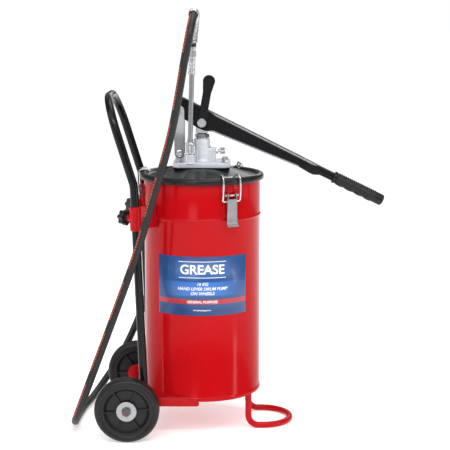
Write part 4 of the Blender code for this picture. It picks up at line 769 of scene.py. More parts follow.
def makeLabel():
    halfWidth = math.radians(label["halfTurn"]) * drum["radius"]
    low = drumBottom + label["bottom"]
    sheet = bmesh.new()
    bmesh.ops.create_grid(sheet, x_segments=64, y_segments=1, size=0.5, calc_uvs=True,
            matrix=Matrix.Diagonal((1, 1, 1, 1)))
    uvs = sheet.loops.layers.uv.verify()
    for face in sheet.faces:
        for loop in face.loops:
            loop[uvs].uv = (loop.vert.co.x + 0.5, loop.vert.co.y + 0.5)
    grow = Matrix.Diagonal((halfWidth * 2, label["height"], 1, 1))
    shift(sheet, placed((0, 0, low + label["height"] / 2), (90, 0, 0)) @ grow)
    wrap(sheet, label["proud"])
    mesh = bpy.data.meshes.new("label")
    sheet.to_mesh(mesh)
    sheet.free()
    mesh.uv_layers[0].name = "UVMap"
    piece = bpy.data.objects.new("label", mesh)
    bpy.context.scene.collection.objects.link(piece)
    mesh.materials.append(labelPrint())
    mesh.shade_smooth()
    skin = piece.modifiers.new("skin", "SOLIDIFY")
    skin.thickness = 0.0002
    skin.offset = 0
    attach(piece, "root")

    height = label["height"]
    lines = [("GREASE", 0.025, 0.775, 0.0), ("16 KG", 0.0082, 0.535, 0.25),
            ("HAND LEVER DRUM PUMP", 0.0082, 0.455, 0.25), ("ON WHEELS", 0.0082, 0.377, 0.25),
            ("GENERAL PURPOSE", 0.0068, 0.233, 0.0), ("for lubricating grease", 0.004, 0.095, 0.0)]
    letters = [lettering(text, size, 0, low + height * up, slant) for text, size, up, slant in lines]
    for up in (0.64, 0.91):                            # plain rules above and below the title
        letters.append(block((-0.046, -0.00006, low + height * up),
                (0.046, 0.00006, low + height * up + 0.0012)))
        cutAlong(letters[-1], 0, 30)
    ink = gather(*letters)
    wrap(ink, label["proud"] + 0.00022)
    addPiece("label_lettering", ink, whiteInk(), "root", (), 30, False)


lidShape = {"rise": 0.0165, "flat": 0.052, "rimProud": 0.0073, "rimHeight": 0.0125, "rimAbove": 0.0068,
        "shoulderBelow": 0.0063, "sheet": 0.0015, "curl": 0.0068}


def makeLid():
    radius = drum["radius"]
    rimTop = drumTop + lidShape["rimAbove"]
    shoulder = rimTop - lidShape["shoulderBelow"]
    top = shoulder + lidShape["rise"]
    outer, skirt = radius + lidShape["rimProud"], rimTop - lidShape["rimHeight"]
    hole = (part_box("pump_tube")[1].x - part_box("pump_tube")[0].x) / 2 + 0.0004
    curl = rimTop - lidShape["curl"]                   # middle of the rolled rim
    roll = [(x, z) for x, z in arc((radius + 0.0004, curl), lidShape["curl"], 150, 0, 18)
            if z > curl and x < outer]
    under = lidShape["sheet"] * 1.05
    inner = radius + 0.0018
    cone = []
    for step in range(9):                              # a very flat cone with a soft shoulder
        share = step / 8
        cone.append((lidShape["flat"] + (radius - 0.0105 - lidShape["flat"]) * share,
                top - lidShape["rise"] * share - 0.0005 * math.sin(math.pi * share)))
    profile = [(hole, top), (lidShape["flat"] - 0.003, top)] + cone
    profile += [(radius - 0.0088, shoulder + 0.0001), (radius - 0.007, shoulder + 0.001)] + roll
    profile += [(outer, curl), (outer, skirt + 0.0026), (outer - 0.0006, skirt + 0.001),
            (outer - 0.002, skirt), (inner + 0.0008, skirt), (inner, skirt + 0.0012),
            (inner, rimTop - 0.0034), (radius - 0.003, rimTop - 0.0034),
            (radius - 0.006, shoulder - under), (radius - 0.0105, shoulder - under),
            (lidShape["flat"], top - under), (hole, top - under)]
    lid = gather((turned(profile, drum["steps"], True), placed((drumX, 0, 0))))
    addPiece("lid_cover", lid, "lidEnamel", "root", ["lid"], 50, False)
    for node in ("lid_eye_right", "lid_eye_left"):
        low, high, middle = sizeOf(node)
        heading = math.atan2(middle.y, middle.x - drumX)
        seat = Vector((drumX + (radius - 0.0149) * math.cos(heading),
                (radius - 0.0149) * math.sin(heading), 0))
        ringZ = high.z - 0.0055
        ring = turned([(0.004 + x, z) for x, z in arc((0, 0), 0.0015, 0, 330, 11)], 40, True)
        post = turned([(0, low.z - ringZ + 0.0004), (0.0028, low.z - ringZ + 0.0004),
                (0.0028, low.z - ringZ + 0.0016), (0.0017, low.z - ringZ + 0.0024), (0.0015, -0.004),
                (0, -0.0036)], 24)
        turn = Matrix.Translation((seat.x, seat.y, ringZ)) @ Matrix.Rotation(heading + math.pi / 2, 4, "Z")
        eye = gather((ring, Matrix.Rotation(math.pi / 2, 4, "X")), post)
        shift(eye, turn)
        addPiece(node + "_ring", eye, "bright", "root", [node], 50, False)


# draw latches: base, pin, lever strip and wire bail, built with their outward side along x
latch = {"pinOut": 0.0085, "pinBelowTop": 0.0251, "hookIn": 0.001, "hookDrop": 0.0114, "wire": 0.0018,
        "bailHalf": 0.0182, "leverHalf": 0.0099, "sheet": 0.0016, "baseHalf": 0.014, "pin": 0.002,
        "earAt": 0.0068}


# a bent strip of sheet: the line is in x and z, and the width runs along y
def ribbon(line, sheet, width, flare=0.0):
    path = [Vector((x, 0, z)) for x, z in line]
    path = smooth(path, 30)
    outer = []
    for before, point, after in zip([path[0]] + path, path, path[1:] + [path[-1]]):
        run = (after - before).normalized()
        outer.append(point + Vector((-run.z, 0, run.x)) * sheet)
    shape = slab([(p.x, p.z) for p in path] + [(p.x, p.z) for p in outer[::-1]], width)
    tall = path[0].z - path[-1].z
    for vert in shape.verts:
        vert.co.y *= 1 + flare * max(0.0, (path[0].z - vert.co.z) / tall) ** 2
    return soften(shape, 0.0004, 2, 60)


def makeLatch(number):
    tag = "_" + str(number)
    pivot = jointAt("latch" + tag + "_lever")
    heading = math.atan2(pivot.y, pivot.x - drumX)
    home = Matrix.Translation((drumX, 0, 0)) @ Matrix.Rotation(heading, 4, "Z")
    out, pinZ = drum["radius"] + latch["pinOut"], drumTop - latch["pinBelowTop"]
    wall = drum["radius"] + 0.0003

    base = block((wall - 0.0002, -latch["baseHalf"], pinZ - 0.044),
            (wall + 0.0022, latch["baseHalf"], pinZ + 0.01), 0.0008)
    cutAlong(base, 1, 10)
    for vert in base.verts:                            # the plate follows the drum's wall
        vert.co.x -= drum["radius"] - math.sqrt(drum["radius"] ** 2 - vert.co.y ** 2)
    parts = [base]
    for side in (-1, 1):
        outline = [(wall + 0.0006, pinZ - 0.006), (out, pinZ - 0.0042)] + arc((out, pinZ), 0.0042, -70, 70,
                8)
        outline += [(out, pinZ + 0.0042), (wall + 0.0006, pinZ + 0.008)]
        parts.append((slab(outline, 0.002, 0.0004, 2), placed((0, side * latch["earAt"], 0))))
        for z in (pinZ - 0.0385, pinZ - 0.0125):       # rivet heads
            rivet = turned([(0, 0.0014), (0.0012, 0.0012), (0.0022, 0.0006), (0.0025, -0.001),
                    (0, -0.001)], 24)
            parts.append((rivet, placed((wall + 0.0016, side * 0.0112, z), (0, 90, 0))))
    base = gather(*parts)
    shift(base, home)
    addPiece("latch_plate" + tag, base, "framePaint", "root", ["latch_base" + tag])

    half = latch["leverHalf"] + 0.004
    pin = turned([(0, -half), (0.0026, -half), (0.0029, -half + 0.0006), (0.0026, -half + 0.0014),
            (latch["pin"], -half + 0.0015), (latch["pin"], half - 0.0006), (latch["pin"] - 0.0006, half),
            (0, half)], 32)
    shift(pin, home @ placed((out, 0, pinZ), (90, 0, 0)))
    addPiece("latch_hinge_pin" + tag, pin, "wire", "root", ["latch_pin" + tag])

    inner = [(0.0018, -0.007), (0.0018, -0.02), (0.0017, -0.033), (0.0012, -0.043), (0.0022, -0.052),
            (0.0046, -0.0566), (0.008, -0.0592)]
    strip = ribbon(inner, latch["sheet"], latch["leverHalf"] * 2 + 0.0004, 0.16)
    parts = [strip]
    drop, hook = latch["hookDrop"], latch["hookIn"]
    for side in (-1, 1):
        outline = [(0.003, -0.025), (0.003, -0.008), (0.0044, 0.0008)] + arc((0, 0), 0.0046, 20, 175, 12)
        outline += [(-0.0048, -drop + 0.001)] + arc((-hook, -drop - 0.0006), 0.004, 185, 262,
                5) + [(0.0006, -0.024)]
        at = side * (latch["leverHalf"] - latch["sheet"] / 2)
        parts.append((slab(outline, latch["sheet"], 0.0004, 2), placed((0, at, 0))))
        boss = turned([(0, 0), (0.0034, 0), (0.0034, 0.0006), (0.0028, 0.0012), (0, 0.0012)], 32)
        parts.append((boss, placed((-hook, at + side * 0.0006, -drop), (-90 * side, 0, 0))))
    lever = gather(*parts)
    shift(lever, home @ placed((out, 0, pinZ)))
    addPiece("latch_strip" + tag, lever, "strip", "latch_lever" + tag, ["latch_lever" + tag])

    hookX, hookZ = out - hook, pinZ - drop
    radius, wide = drum["radius"], latch["bailHalf"]
    rim, rimTop = radius + lidShape["rimProud"], drumTop + lidShape["rimAbove"]
    leg = [(hookX, latch["leverHalf"] - 0.0004, hookZ), (hookX, wide - 0.003, hookZ),
            (hookX + 0.0004, wide - 0.0004, hookZ + 0.0016), (hookX + 0.0018, wide, hookZ + 0.008),
            (hookX + 0.003, wide, hookZ + 0.023), (rim + 0.0032, wide - 0.0002, rimTop - 0.008),
            (rim + 0.0014, wide - 0.0004, rimTop + 0.0014),
            (radius + 0.0018, wide - 0.001, rimTop + 0.0056),
            (radius - 0.003, wide - 0.002, rimTop + 0.0056),
            (radius - 0.0076, wide - 0.0046, rimTop + 0.0022), (radius - 0.0096, wide - 0.0082, rimTop)]
    wire = smooth([Vector(p) for p in leg] + [Vector((leg[-1][0], 0, rimTop - 0.0003))]
            + [Vector((x, -y, z)) for x, y, z in leg[::-1]], 180)
    bail = sweep([home @ point for point in wire], latch["wire"], 16)
    addPiece("latch_wire" + tag, bail, "wire", "latch_bail" + tag, ["latch_bail" + tag], 60,
            False)


makeDrum()
makeLabel()
makeLid()
for number in (1, 2, 3):
    makeLatch(number)
print("drum, lid and latches made")


# pump head on the lid: heights are above the underside of its base plate
# gasket is the thickness of the dark sheet painted in under the plate as contact shade
pump = {"plateX": 0.056, "plateY": 0.045, "corner": 0.011, "plate": 0.0107, "gasket": 0.0014,
        "barrel": 0.0158, "barrelTop": 0.0547, "stepAt": 0.0402, "nozzleX": -0.022, "nozzleY": -0.033,
        "nozzleTop": 0.0267, "outletAt": 0.0322, "lugX": -0.0436, "lugAt": 0.0272, "lugHalf": 0.012,
        "boltHead": 0.0062}


def chamfered(halfX, halfY, corner):
    return [(-halfX + corner, -halfY), (halfX - corner, -halfY), (halfX, -halfY + corner),
            (halfX, halfY - corner), (halfX - corner, halfY), (-halfX + corner, halfY),
            (-halfX, halfY - corner), (-halfX, -halfY + corner)]


def along(way, at):
    turns = {"x": (0, 90, 0), "y": (-90, 0, 0), "-y": (90, 0, 0)}
    return placed(at, turns[way])


def onHead(shape, name, finish, nodes=(), body="root"):
    shift(shape, placed((drumX, 0, sizeOf("pump_body")[0].z)))
    return addPiece(name, shape, finish, body, nodes)


def makePumpHead():
    thick = pump["plate"] - pump["gasket"]
    # painted shade: a thin dark sheet under the base plate stands in for the contact shade along its lower
    # edge
    gasket = slab(chamfered(pump["plateX"] - 0.0006, pump["plateY"] - 0.0006, pump["corner"]),
            pump["gasket"] + 0.0002)
    shift(gasket, placed((0, 0, pump["gasket"] / 2 + 0.0001), (90, 0, 0)))
    onHead(gasket, "base_shade_sheet", "rubber")

    barrel, top, step = pump["barrel"], pump["barrelTop"], pump["stepAt"]
    cove = [(0.0268 - 0.0062 * math.sin(angle), pump["plate"] + 0.0062 - 0.0062 * math.cos(angle))
            for angle in (0, 0.4, 0.8, 1.2, math.pi / 2)]
    barrelProfile = [(0, thick)] + [(0.0268, thick)] + [(x - 0.003, z) for x, z in cove]
    barrelProfile += [(barrel + 0.0012, step - 0.01), (barrel + 0.0012, step - 0.0004),
            (barrel + 0.0006, step + 0.0004), (barrel, step + 0.001), (barrel, top - 0.0012),
            (barrel - 0.0012, top), (0, top)]
    nozzleFoot = [(0, thick), (0.0142, thick), (0.0142, pump["plate"]), (0.0124, pump["plate"] + 0.0008),
            (0.0114, pump["plate"] + 0.003), (0.0112, pump["nozzleTop"] - 0.001),
            (0.0104, pump["nozzleTop"]), (0, pump["nozzleTop"])]
    outlet = turned([(0, 0), (0.0105, 0), (0.0105, 0.021), (0.0097, 0.022), (0.0097, 0.0232), (0, 0.0232)],
            48)
    lug = [(pump["lugX"] - 0.0086, thick), (pump["lugX"] - 0.008, pump["lugAt"])]
    lug += arc((pump["lugX"], pump["lugAt"]), 0.008, 178, 2,
            14) + [(pump["lugX"] + 0.0092, pump["plate"] + 0.006), (pump["lugX"] + 0.013, thick)]
    web = slab([(pump["nozzleX"], 0), (0, 0), (0, 0.026), (pump["nozzleX"], 0.02)], 0.006, 0.0012, 2)
    body = gather((slab(chamfered(pump["plateX"], pump["plateY"], pump["corner"]), thick, 0.0014, 3),
            placed((0, 0, pump["gasket"] + thick / 2), (90, 0, 0))), turned(barrelProfile, 96),
            (turned(nozzleFoot, 64), placed((pump["nozzleX"], pump["nozzleY"], 0))),
            (web, placed((0, 0, pump["plate"] - 0.0004),
            (0, 0, math.degrees(math.atan2(pump["nozzleY"], pump["nozzleX"])) + 180))),
            block((0.005, -0.011, thick), (0.0275, 0.011, 0.0372), 0.0024, 4),
            (outlet, along("y", (0, 0.007, pump["outletAt"]))),
            block((-0.004, 0.012, thick), (0.004, 0.028, 0.026), 0.0012),
            slab(lug, pump["lugHalf"] * 2, 0.0016, 3),
            block((-0.04, -0.004, thick), (-0.01, 0.004, 0.0225), 0.0014))
    onHead(body, "pump_casting", "cast", ["pump_body"])

    headTop = sizeOf("base_bolt_1")[1].z - sizeOf("pump_body")[0].z
    for number in range(1, 5):
        node = "base_bolt_" + str(number)
        middle = sizeOf(node)[2]
        washer = turned([(0, 0), (0.0082, 0), (0.0082, 0.0008), (0.0078, 0.0011), (0, 0.0011)], 48)
        head = hexagon(pump["boltHead"], headTop - pump["plate"] - 0.0011, 0.0009, 0.0008, 11 + number * 19)
        bolt = gather(washer, (head, placed((0, 0, 0.0011))))
        shift(bolt, placed((middle.x - drumX, middle.y, pump["plate"] + 0.0001)))
        onHead(bolt, "base_screw_" + str(number), "bright", [node])

    base = sizeOf("pump_body")[0].z
    glandTop = sizeOf("gland_nut")[1].z - base
    neck = turned([(0, pump["barrelTop"] - 0.003), (0.0112, pump["barrelTop"] - 0.003),
            (0.0112, glandTop - 0.0066), (0, glandTop - 0.0066)], 48)
    collar = turned([(0.0074, glandTop - 0.001), (0.0074, glandTop + 0.0004), (0.0078, glandTop + 0.0008),
            (0.0092, glandTop + 0.0008), (0.0098, glandTop + 0.0002), (0.0098, glandTop - 0.001)], 48,
            True)
    gland = gather(neck, (hexagon(0.0155, 0.007, 0.0015, 0, 15), placed((0, 0, glandTop - 0.007))), collar)
    onHead(gland, "gland_hex", "bright", ["gland_nut"])

    _, high, middle = sizeOf("vent_valve")
    ventAt = middle.z - base
    valve = gather((hexagon(0.0066, 0.004, 0.0007), along("x", (0.0276, 0, ventAt))),
            (rod(0.003, high.x - drumX - 0.03, 0.0004, 32), along("x", (0.03, 0, ventAt))))
    onHead(valve, "vent_body", "bright", ["vent_valve"])
    low, high, _ = sizeOf("vent_knob")
    reach = high.x - low.x
    knob = gather((knurled(0.0064, 0.0006, 16, reach - 0.003), placed((0, 0, 0.0015))),
            turned([(0, 0), (0.0054, 0), (0.006, 0.0006), (0.006, 0.0017), (0, 0.0017)], 40),
            turned([(0, reach - 0.0017), (0.006, reach - 0.0017), (0.006, reach - 0.0008), (0.0052, reach),
            (0.0024, reach), (0.0018, reach - 0.0006), (0, reach - 0.0006)], 40))
    shift(knob, along("x", (low.x - drumX, 0, ventAt)))
    onHead(knob, "vent_knob_cap", "bright", ["vent_knob"], "vent_knob")

    low, high, _ = sizeOf("outlet_fitting")
    reach = high.y - low.y
    crimp = [(0, 0.0118), (0.009, 0.0118), (0.0096, 0.0126)]
    for ring in range(5):                              # rolled crimp rings
        at = 0.014 + ring * 0.0038
        crimp += [(0.0096, at), (0.009, at + 0.0005), (0.009, at + 0.0012), (0.0096, at + 0.0017)]
    crimp += [(0.0096, reach - 0.0012), (0.0088, reach), (0, reach)]
    fitting = gather((hexagon(0.0105, 0.012, 0.001), along("y", (0, low.y, pump["outletAt"]))),
            (turned(crimp, 48), along("y", (0, low.y, pump["outletAt"]))))
    onHead(fitting, "outlet_hose_end", "bright", ["outlet_fitting"])


# fulcrum link, piston rod and the bolt through its eye
link = {"sheet": 0.004, "at": 0.0148, "foot": 0.0098, "head": 0.0105, "slotX": -0.0007, "slotZ": 0.0827,
        "slotRun": 0.0026, "slot": 0.0043}


def holed(outline, hole, thickness, edge=0.0):
    shape = bmesh.new()
    half, loops = thickness / 2, []
    for line, y in ((outline, -half), (hole, -half), (hole, half), (outline, half)):
        points = [shape.verts.new((x, y, z)) for x, z in line]
        loops.append([shape.edges.new(pair) for pair in zip(points, points[1:] + points[:1])])
    for first, second in zip(loops, loops[1:] + loops[:1]):
        bmesh.ops.bridge_loops(shape, edges=first + second)
    bmesh.ops.recalc_face_normals(shape, faces=shape.faces)
    return soften(shape, edge, 2, 60) if edge else shape


# pressed lever enamel, with a lighter grey painted on as highlight lines where a point attribute on the
# lever's mesh marks them
def leverEnamel():
    enamel = Finish("pressed_lever_enamel", lever["enamel"], 0.2, 0.0, 0.03, 0.13)
    paintedHighlight = enamel.node("Attribute", {"attribute_name": "paintedHighlight"}, out=2)
    smear = enamel.noise(31, 5, 0.7)
    # painted highlight strength, broken up by noise
    paintedHighlightShare = paintedHighlight * (enamel.noise(140, 3, 0.6) * 0.6 + 0.62)
    tone = enamel.mix(smear, shade(lever["enamel"], 0.8), shade(lever["enamel"], 1.4))
    enamel.feed(Base_Color=enamel.mix(paintedHighlightShare, tone, lever["edge"]), Roughness=smear * 0.12 + 0.15)
    enamel.bump(enamel.noise(380, 2), 0.00008, 0.25)
    return enamel.material


def linkSteel():
    steel = Finish("link_steel", (0.45, 0.46, 0.48), 0.36, 0.6)
    _, _, height = steel.axes()
    # painted shade: the link is darker over its lower part and lighter above it, fading between these two
    # heights
    paintedShadeFade = height.fade(sizeOf("fulcrum_link")[0].z + 0.036, sizeOf("fulcrum_link")[0].z + 0.062)
    grain = steel.noise(420, 4, 0.7, (1, 1, 0.12))
    tone = steel.mix(paintedShadeFade, (0.24, 0.24, 0.25), (0.54, 0.55, 0.57))
    steel.feed(Base_Color=steel.mix(grain * 0.35, tone, (0.3, 0.3, 0.31)), Roughness=grain * 0.18 + 0.28)
    steel.bump(grain, 0.00008, 0.6)
    return steel.material


def makeLink():
    pivot = jointAt("link_swing")
    outline = arc((0, 0), link["foot"], 188, 352, 16) + arc((link["slotX"], link["slotZ"]), link["head"],
            4, 176, 16)
    hole = arc((link["slotX"] - link["slotRun"], link["slotZ"]), link["slot"], 90, 270, 16)
    hole += arc((link["slotX"] + link["slotRun"], link["slotZ"]), link["slot"], -90, 90, 16)
    parts = [block((-0.008, -0.013, 0.017), (0.008, 0.013, 0.053), 0.0012)]
    for side in (-1, 1):
        parts.append((holed(outline, hole, link["sheet"], 0.0006), placed((0, side * link["at"], 0))))
        boss = turned([(0, 0), (0.0088, 0), (0.0088, 0.0002), (0, 0.0002)], 40)
        parts.append((boss, along("y" if side > 0 else "-y",
                (0, side * (link["at"] + link["sheet"] / 2), 0))))
    shape = gather(*parts)
    shift(shape, placed(pivot))
    addPiece("link_fork", shape, linkSteel(), "link", ["fulcrum_link"])

    low, high, middle = sizeOf("link_foot_bolt")
    button = turned([(0, 0), (0.0075, 0), (0.0075, 0.002), (0.007, 0.0034), (0.0056, 0.0042),
            (0.003, 0.0045), (0, 0.0045)], 48)
    nut = hexagon(0.0072, 0.0044, 0.0008, 0, 20)
    bolt = gather((rod(0.0034, high.y - low.y - 0.003, 0.0005, 32), along("y", (0, low.y + 0.003, 0))),
            (button, along("-y", (0, low.y + 0.0045, 0))), (nut, along("y", (0, 0.0171, 0))))
    shift(bolt, placed((middle.x, 0, pivot.z)))
    addPiece("link_button_bolt", bolt, "bright", "root", ["link_foot_bolt"])


def makeRod():
    low, high, _ = sizeOf("rod_eye")
    pivot = jointAt("lever_pump")
    bottom, top = low.z - pivot.z, high.z - pivot.z
    outline = [(-0.0104, bottom), (0.0104, bottom), (0.012, bottom + 0.0016)]
    outline += arc((0.005, top - 0.007), 0.007, 0, 90, 10) + arc((-0.005, top - 0.007), 0.007, 90, 180, 10)
    eye = slab(outline + [(-0.012, bottom + 0.0016)], high.y - low.y, 0.0012, 3)
    shift(eye, placed(pivot))
    addPiece("rod_end", eye, "bright", "rod", ["rod_eye"])

    low, high, middle = sizeOf("piston_rod")
    shaft = rod((high.x - low.x) / 2, high.z - low.z, 0.0004)
    shift(shaft, placed((middle.x, middle.y, low.z)))
    addPiece("piston_shaft", shaft, "bright", "rod", ["piston_rod"])

    low, high, middle = sizeOf("rod_bolt")
    head, nut = hexagon(0.0075, 0.005, 0.001, 0.0009, 12), hexagon(0.0075, 0.005, 0.001, 0, 40)
    bolt = gather((rod(0.0039, high.y - low.y - 0.004, 0.0006, 32), along("y", (0, low.y + 0.004, 0))),
            (head, along("-y", (0, low.y + 0.005, 0))), (nut, along("y", (0, high.y - 0.0066, 0))),
            (rod(0.0086, 0.001, 0.0002, 40), along("y", (0, low.y + 0.005, 0))))
    shift(bolt, placed((middle.x, 0, pivot.z)))
    addPiece("rod_cross_bolt", bolt, "bright", "rod", ["rod_bolt"])


# lever: a pressed channel open below, a closed nose, a tube and a hand grip; u runs along it, w up
# edge is the light grey painted on the lever as highlight lines
lever = {"slope": 25.9, "tail": -0.062, "top": 0.0282, "topEnd": 0.0252, "bottom": -0.0128,
        "bottomEnd": 0.0053, "lipStart": 0.028, "lipLow": -0.0064, "end": 0.2075, "half": 0.0122,
        "sheet": 0.0022, "corner": 0.0046, "lip": 0.004, "neckAt": 0.0163, "neck": 0.0088, "tube": 0.0085,
        "gripStart": 0.279, "gripEnd": 0.3885, "enamel": (0.005, 0.005, 0.006), "edge": (0.34, 0.34, 0.35)}


def channelRing(u, top, bottom, lip):
    half, sheet, corner = lever["half"], lever["sheet"], min(lever["corner"], (top - bottom) * 0.4)
    fillet = min(0.0012, lip * 0.4)
    right = [(half + lip, bottom), (half + lip, bottom + sheet * 0.8),
            (half + fillet, bottom + sheet * 0.8), (half, bottom + sheet * 0.8 + fillet)]
    right += [(half - corner + y, top - corner + w) for y, w in arc((0, 0), corner, 0, 90, 6)]
    inner = [(half - corner + y, top - corner + w) for y, w in arc((0, 0), corner - sheet, 90, 0, 6)]
    inner += [(half - sheet, bottom)]
    half = right + [(-y, w) for y, w in right[::-1]]
    return [(u, y, w) for y, w in half + [(-y, w) for y, w in inner[::-1]] + inner]


def makeLever():
    pivot = jointAt("lever_pump")
    home = Matrix.Translation(pivot) @ Matrix.Rotation(math.radians(lever["slope"]), 4, "Y")
    tail, top, bottom, end, lip = lever["tail"], lever["top"], lever["bottom"], lever["end"], lever["lip"]
    fall = (lever["topEnd"] - top) / (end + 0.03 - tail)
    climb = (lever["bottomEnd"] - lever["lipLow"]) / (end - lever["lipStart"])
    stations = [(tail, -0.0074, 0.0008, 0), (tail + 0.0012, -0.0044, -0.0016, 0),
            (tail + 0.003, -0.002, -0.004, 0), (tail + 0.0058, -0.0004, -0.0059, 0),
            (tail + 0.009, 0, -0.0066, 0), (-0.035, 0, -0.0085, 0), (-0.015, 0, -0.0113, 0),
            (-0.003, 0, bottom, 0), (0.01, 0, bottom + 0.0006, 0), (0.019, 0, -0.0093, 0),
            (0.023, 0, -0.0077, lip * 0.5), (0.026, 0, -0.0069, lip * 0.88)]
    for u in (0.03, 0.06, 0.1, 0.15, end - 0.006, end - 0.0006):
        stations.append((u, 0, lever["lipLow"] + (u - lever["lipStart"]) * climb, lip))
    stations += [(end - 0.0002, 0, lever["bottomEnd"], 0),
            (end + 0.006, -0.0004, lever["bottomEnd"] - 0.0004, 0)]
    channel = loft([channelRing(u, top + (u - tail) * fall + drop, low, out) for u, drop, low,
            out in stations])
    highest, lowest = lever["topEnd"], lever["bottomEnd"]
    neckTop, neckLow = lever["neckAt"] + lever["neck"], lever["neckAt"] - lever["neck"]
    noseRings = []
    for u, up, down, wide, square in ((end - 0.01, highest - 0.001, lowest + 0.0016,
            lever["half"] - 0.0012, 6), (end + 0.002, highest - 0.0004, lowest + 0.0002,
            lever["half"] - 0.0004, 6), (end + 0.006, highest, lowest - 0.001, lever["half"] + 0.0006,
            5.4), (end + 0.016, highest, lowest - 0.002, lever["half"] + 0.0008, 4.8),
            (end + 0.026, highest, lowest - 0.0028, lever["half"], 4.2),
            (end + 0.033, highest - 0.0001, lowest - 0.0026, 0.0112, 3.4),
            (end + 0.039, neckTop, lowest - 0.0006, 0.01, 2.7),
            (end + 0.045, neckTop, neckLow - 0.0002, 0.0092, 2.2),
            (end + 0.05, neckTop, neckLow, lever["neck"], 2),
            (lever["gripStart"] - 0.002, neckTop, neckLow, lever["neck"], 2),
            (lever["gripStart"] + 0.001, neckTop - 0.0003, neckLow + 0.0003, lever["tube"], 2),
            (lever["gripEnd"] - 0.008, neckTop - 0.0003, neckLow + 0.0003, lever["tube"], 2)):
        middle, tall, ring = (up + down) / 2, (up - down) / 2, []
        for step in range(48):
            across, rise = math.cos(math.tau * step / 48), math.sin(math.tau * step / 48)
            ring.append((u, wide * math.copysign(abs(across) ** (2 / square), across),
                    middle + tall * math.copysign(abs(rise) ** (2 / square), rise)))
        noseRings.append(ring)
    shape = gather(channel, loft(noseRings))
    shift(shape, home)
    piece = addPiece("lever_arm", shape, leverEnamel(), "lever", ["lever"], 42)
    # painted highlight: marks the points of the lever that get the lighter grey standing for highlight
    # lines
    paintedHighlight = piece.data.attributes.new("paintedHighlight", "FLOAT", "POINT")
    back = home.inverted()
    for vert, mark in zip(piece.data.vertices, paintedHighlight.data):
        u, y, w = back @ vert.co
        above = w - (top + (u - tail) * fall)
        if u < end + 0.03 and abs(y) > lever["half"] + 0.0009:
            mark.value = 1.0                           # the lip, painted lighter as a highlight line
        elif 0.01 < u < end + 0.03 and -0.0042 < above < -0.0009 and abs(y) > lever["half"] - 0.0028:
            mark.value = 0.85                          # the upper edge, painted lighter as a highlight line
        # the top of the tube, given half the painted highlight on its upper side
        elif u > end + 0.03 and w > neckTop - 0.0012:
            mark.value = 0.5

    low, high, middle = sizeOf("fulcrum_pin")
    reach = high.y - low.y
    pin = turned([(0, 0), (0.0052, 0), (0.0062, 0.0008), (0.0062, 0.0024), (0.0034, 0.0025),
            (0.0034, reach - 0.0025), (0.0062, reach - 0.0024), (0.0062, reach - 0.0008), (0.0052, reach),
            (0, reach)], 40)
    shift(pin, along("y", (middle.x, low.y, middle.z)))
    addPiece("fulcrum_cross_pin", pin, "bright", "lever", ["fulcrum_pin"])

    length = lever["gripEnd"] - lever["gripStart"]
    profile = [(lever["tube"] - 0.0002, 0)]
    for step in range(221):
        at = length * step / 220
        radius = 0.0108
        if at < 0.005:                                # collar
            radius = 0.012 - max(0.0, 0.0008 - at) * 0.9
        elif at < 0.0064:
            radius = 0.01
        elif at > length - 0.006:
            radius = 0.0112 * math.sqrt(max(0.0, 1 - ((at - length + 0.006) / 0.006) ** 2.4))
        elif at > length - 0.02:
            radius = 0.0112
        profile.append((radius, at))
    grip = turned(profile + [(0, length)], 48)
    for vert in grip.verts:
        at = vert.co.z
        if not 0.0066 < at < length - 0.0205:
            continue
        spread = max(0.0001, math.hypot(vert.co.x, vert.co.y))
        upward = -vert.co.x / spread                   # +1 on top of the grip, -1 beneath
        ribs = 0.0013 * max(0.0, upward + 0.25) ** 0.5 * abs(math.sin(math.pi * (at - 0.0066) / 0.0046))
        share = (at - 0.0066) / (length - 0.0272)
        fingers = 0.0016 * max(0.0, -upward) * abs(math.sin(math.pi * 4 * share))
        vert.co.xy *= (spread + ribs + fingers) / spread
    shift(grip, home @ placed((lever["gripStart"], 0, lever["neckAt"]), (0, 90, 0)))
    addPiece("hand_grip", grip, "gripRubber", "lever", ["lever_grip"], 70, False)


steady = {"length": 0.0935, "spoonHalf": 0.0116, "neckHalf": 0.0074, "foot": 0.0095, "sheet": 0.003,
        "lean": 10}


def makeSteadyingHandle():
    pivot = jointAt("steadying_handle_swing")
    low, high, middle = sizeOf("steadying_handle")
    lean = math.copysign(steady["lean"], middle.x - pivot.x)
    home = Matrix.Translation((pivot.x, middle.y, pivot.z)) @ Matrix.Rotation(math.radians(lean), 4, "Y")
    spoon, neck = steady["length"] - steady["spoonHalf"], steady["neckHalf"]
    head = arc((0, spoon), steady["spoonHalf"], -25, 205, 28)
    outline = arc((0, 0), steady["foot"], 130, 410, 24) + [(neck + 0.0008, 0.015), (neck, 0.024)]
    outline += [(neck, spoon - 0.022), (neck + 0.002, spoon - 0.013)] + head
    outline += [(-neck - 0.002, spoon - 0.013), (-neck, spoon - 0.022), (-neck, 0.024),
            (-neck - 0.0008, 0.015)]
    rim = [Vector((x * 0.9, 0, spoon + (z - spoon) * 0.9 if z > spoon else z)) for x, z in outline[25:]]
    thick = high.y - low.y
    shape = gather(slab(outline, steady["sheet"], 0.001, 3), sweep(rim, 0.0015, 12),
            (rod(steady["foot"], thick - 0.0004, 0.001, 48), along("y", (0, -thick / 2 + 0.0002, 0))))
    shift(shape, home)
    addPiece("steadying_spoon", shape, "leverEnamel", "steadying_handle",
            ["steadying_handle"], 45)


makePumpHead()
makeLink()
makeRod()
makeLever()
makeSteadyingHandle()
print("pump head and lever made")


# push handle and the clamps that hold it
handle = {"tube": 0.0081, "foot": (-0.1104, 0.0711), "kink": (-0.1265, 0.49), "top": (-0.178, 0.6552),
        "half": 0.1, "kinkBend": 0.06, "cornerBend": 0.075}
clamp = {"x": -0.1241, "height": 0.4271, "tall": 0.046, "outer": 0.0111, "bore": 0.0084, "tilt": -2.2,
        "knobFace": 0.024, "knob": 0.0158, "thick": 0.015, "lobes": 7}


